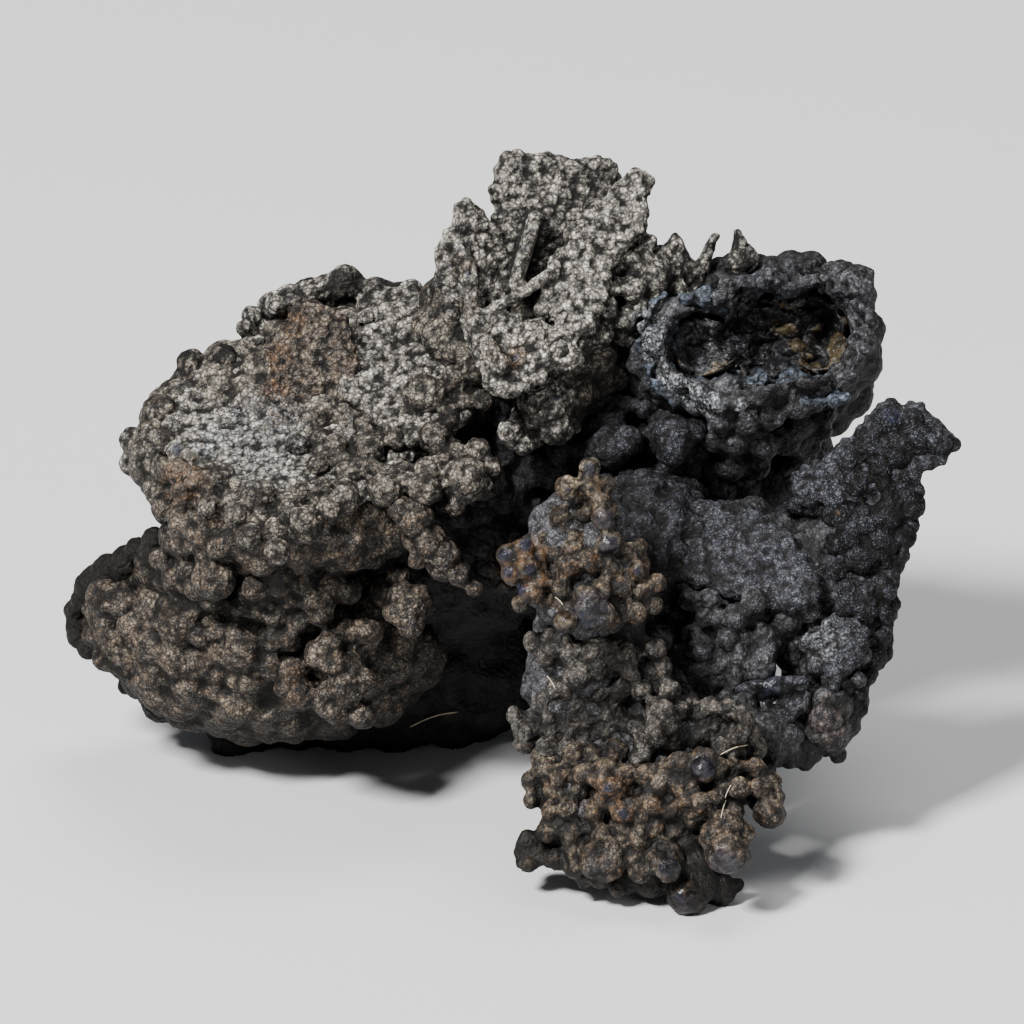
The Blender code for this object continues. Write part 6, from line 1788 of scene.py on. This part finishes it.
def crust_patches() -> list[CrustPatch]:
    """Return every patch of crust, from the core outwards.

    Returns:
        The patches, in the order in which they are built.
    """
    coarse = (Pebbles(0.9, 0.14),)
    granular = (Pebbles(0.95, 0.24), Pebbles(0.52, 0.11))
    ridged = (Pebbles(1.25, 0.32), Pebbles(0.6, 0.12))
    beaded = (Pebbles(2.3, 0.36), Pebbles(1.05, 0.17), Pebbles(0.56, 0.08))
    return [
        CoreMass("upper_core", TAWNY, masses=UPPER_MASSES, step=0.52, pebbles=coarse, sunk_shade=0.25),
        CoreMass("left_core", EARTHY, masses=LEFT_MASSES, step=0.56, pebbles=coarse, sunk_shade=0.5),
        BeadedSheet("shelf_top", DUSTY, plates=(SHELF_TOP, MIDDLE_TOP), step=0.30, pebbles=granular,
                    sunk_shade=0.3),
        CoreMass("middle_core", UMBER, masses=MIDDLE_MASSES, step=0.62, pebbles=coarse),
        CoreMass("crown_core", TAWNY, masses=(MASSES[6],), step=0.52, pebbles=coarse, sunk_shade=0.7),
        CoreMass("right_core", SHADED, masses=RIGHT_MASSES, step=0.58, pebbles=coarse, sunk_shade=0.6),
        CoreMass("hollow_core", SLATY, masses=HOLLOW_MASSES, step=0.46, pebbles=coarse),
        CoreMass("shoulder", SHADED, masses=SHOULDER_MASSES, step=0.40, pebbles=beaded, sunk_shade=0.5,
                 covers=(BeadCover(0.05, (1.3, 1.7)), BeadCover(0.38, (0.8, 1.2)))),
        CoreMass("front_core", SLATY, masses=FRONT_MASSES, step=0.52, pebbles=coarse),
        CrustPatch("shelf", TAWNY, lumps=SHELF_LUMPS, sunk_shade=0.5),
        CrustPatch("shelf_plate", EARTHY, plates=(BLADES[4],), step=0.22, pebbles=granular, sunk_shade=0.3),
        CrustPatch("skyline", DUSTY, lumps=SKYLINE_LUMPS, sunk_shade=0.15),
        CrustPatch("middle_band", TAWNY, lumps=MIDDLE_LUMPS, step=0.28),
        CrustPatch("tongue", EARTHY, lumps=TONGUE_LUMPS),
        CrustPatch("cheek", EARTHY, lumps=CHEEK_LUMPS, step=0.32),
        CrustPatch("underside", EARTHY, lumps=UNDERSIDE_LUMPS, step=0.36),
        CrustPatch("near_balls", DUSTY, lumps=HOLLOW_LUMPS[:9], sunk_shade=0.15),
        CrustPatch("inner_shade", SHADED, lumps=HOLLOW_LUMPS[9:], step=0.31, sunk_shade=0.6, pebbles=beaded),
        CrustPatch("crown", DUSTY, lumps=CROWN_LUMPS, rods=RODS[2:5], step=0.27, sunk_shade=0.6),
        CrownPatch("crown_plates", DUSTY, plates=BLADES[:4], rods=RODS[:2], step=0.28, pebbles=granular,
                   sunk_shade=0.6),
        RimLace("hollow_lace", LACY, step=0.25, pebbles=granular, pocket_inset=2.2),
        RimLace("hollow_edge", SLATY, step=0.27, pebbles=granular, pocket_inset=2.2, rows=3, width=1.2,
                start=math.radians(-35.0), end=math.radians(140.0)),
        CrustPatch("hollow_rim", SLATY, lumps=VUG_LUMPS + UNDER_VUG_LUMPS, step=0.32),
        CrustPatch("wing", DEEPER_SHADED, lumps=WING_LUMPS, step=0.28, pebbles=beaded),
        CrustPatch("flank", SLATY, lumps=FLANK_LUMPS, step=0.27),
        CrustPatch("arm_plates", SHADED, plates=BLADES[5:], rods=RODS[5:], step=0.28, pebbles=ridged),
        CrustPatch("cluster", BRONZED, lumps=CLUSTER_LUMPS, step=0.26, sunk_shade=1.8, pebbles=beaded),
        CrustPatch("arm", SMOKY, lumps=ARM_LUMPS, step=0.28, sunk_shade=1.2, pebbles=beaded),
        CrustPatch("foot", BRONZED, lumps=FOOT_LUMPS, step=0.28, sunk_shade=1.8, pebbles=beaded),
    ]


@dataclass(frozen=True)
class SoftLight:
    """A square soft light: its place in metres, the length of its side and its power in watts."""

    name: str
    place: tuple[float, float, float]
    size: float
    power: float


@dataclass
class Studio:
    """The pale floor, the soft lights and the camera at the photograph's viewing angle."""

    floor_size: float = 6.0
    floor_steps: int = 8
    lights: tuple[SoftLight, ...] = (
        SoftLight("key", (-0.62, -0.72, 1.05), 0.26, 44.0), SoftLight("fill", (0.85, -0.9, 0.40), 0.5, 3.5),
        SoftLight("top", (0.15, 0.30, 1.05), 0.5, 7.0))
    aim: tuple[float, float, float] = (0.0, 0.0, 0.03)
    sky: tuple[float, float, float, float] = (0.85, 0.90, 1.0, 1.0)
    sky_strength: float = 0.10
    floor_colour: tuple[float, float, float, float] = (0.72, 0.72, 0.72, 1.0)
    clip_end: float = 100.0

    def build(self) -> None:
        """Lay the floor, hang the lights and stand the camera."""
        self.floor()
        for light in self.lights:
            self.hang(light)
        world = bpy.data.worlds.new("studio")
        world.use_nodes = True
        world.node_tree.nodes["Background"].inputs["Color"].default_value = self.sky
        world.node_tree.nodes["Background"].inputs["Strength"].default_value = self.sky_strength
        bpy.context.scene.world = world
        self.camera()

    def floor(self) -> None:
        """Lay a flat square grid of faces where the specimen rests."""
        width = self.floor_steps + 1
        line = np.linspace(-0.5, 0.5, width) * self.floor_size / MM
        x, y = np.meshgrid(line, line, indexing="ij")
        corners = np.stack((x, y, np.zeros_like(x)), axis=-1).reshape(-1, 3)
        row, column = np.meshgrid(np.arange(self.floor_steps), np.arange(self.floor_steps), indexing="ij")
        here = (row * width + column).ravel()
        faces = np.stack((here, here + width, here + width + 1, here + 1), axis=1)
        item = placed("floor", as_mesh(Surface(corners, faces), "floor"))
        material = bpy.data.materials.new("pale_floor")
        material.use_nodes = True
        shader = material.node_tree.nodes["Principled BSDF"]
        shader.inputs["Base Color"].default_value = self.floor_colour
        shader.inputs["Roughness"].default_value = 0.8
        item.data.materials.append(material)

    def hang(self, light: SoftLight) -> None:
        """Hang a soft light that faces the specimen.

        Args:
            light: The light.
        """
        lamp = bpy.data.lights.new(light.name, "AREA")
        lamp.size = light.size
        lamp.energy = light.power
        item = placed(light.name, lamp)
        item.location = light.place
        item.rotation_euler = (Vector(self.aim) - Vector(light.place)).to_track_quat("-Z", "Y").to_euler()

    def camera(self) -> None:
        """Stand the camera VIEW_DISTANCE in front of the face's middle, looking down by LEAN."""
        ahead = Vector((0.0, math.cos(LEAN), -math.sin(LEAN)))
        target = -Vector(REST_POINT) * MM
        lens = bpy.data.cameras.new("camera")
        lens.sensor_width = SENSOR_WIDTH
        lens.lens = SENSOR_WIDTH * VIEW_DISTANCE / FRAME_WIDTH
        lens.clip_end = self.clip_end
        item = placed("camera", lens)
        item.location = target - ahead * VIEW_DISTANCE * MM
        item.rotation_euler = ahead.to_track_quat("-Z", "Y").to_euler()
        bpy.context.scene.camera = item


def main() -> None:
    """Build the studio and every piece of the specimen, and report each one."""
    logging.basicConfig(level=logging.INFO)
    Studio().build()
    patches = crust_patches()
    items = [patch.build() for patch in patches]
    relief = Relief()
    relief.take(seen(np.vstack([patch.surface.corners for patch in patches])))
    for patch, item in zip(patches, items):
        patch.dress(item, relief)
        LOG.info("%s: %d triangles", item.name, 2 * len(item.data.polygons))
    for piece in (HollowLining().build(), Fibres().build(patches[1:])):
        LOG.info("%s: %d triangles", piece.name, len(piece.data.polygons))


if __name__ == "__main__":
    main()
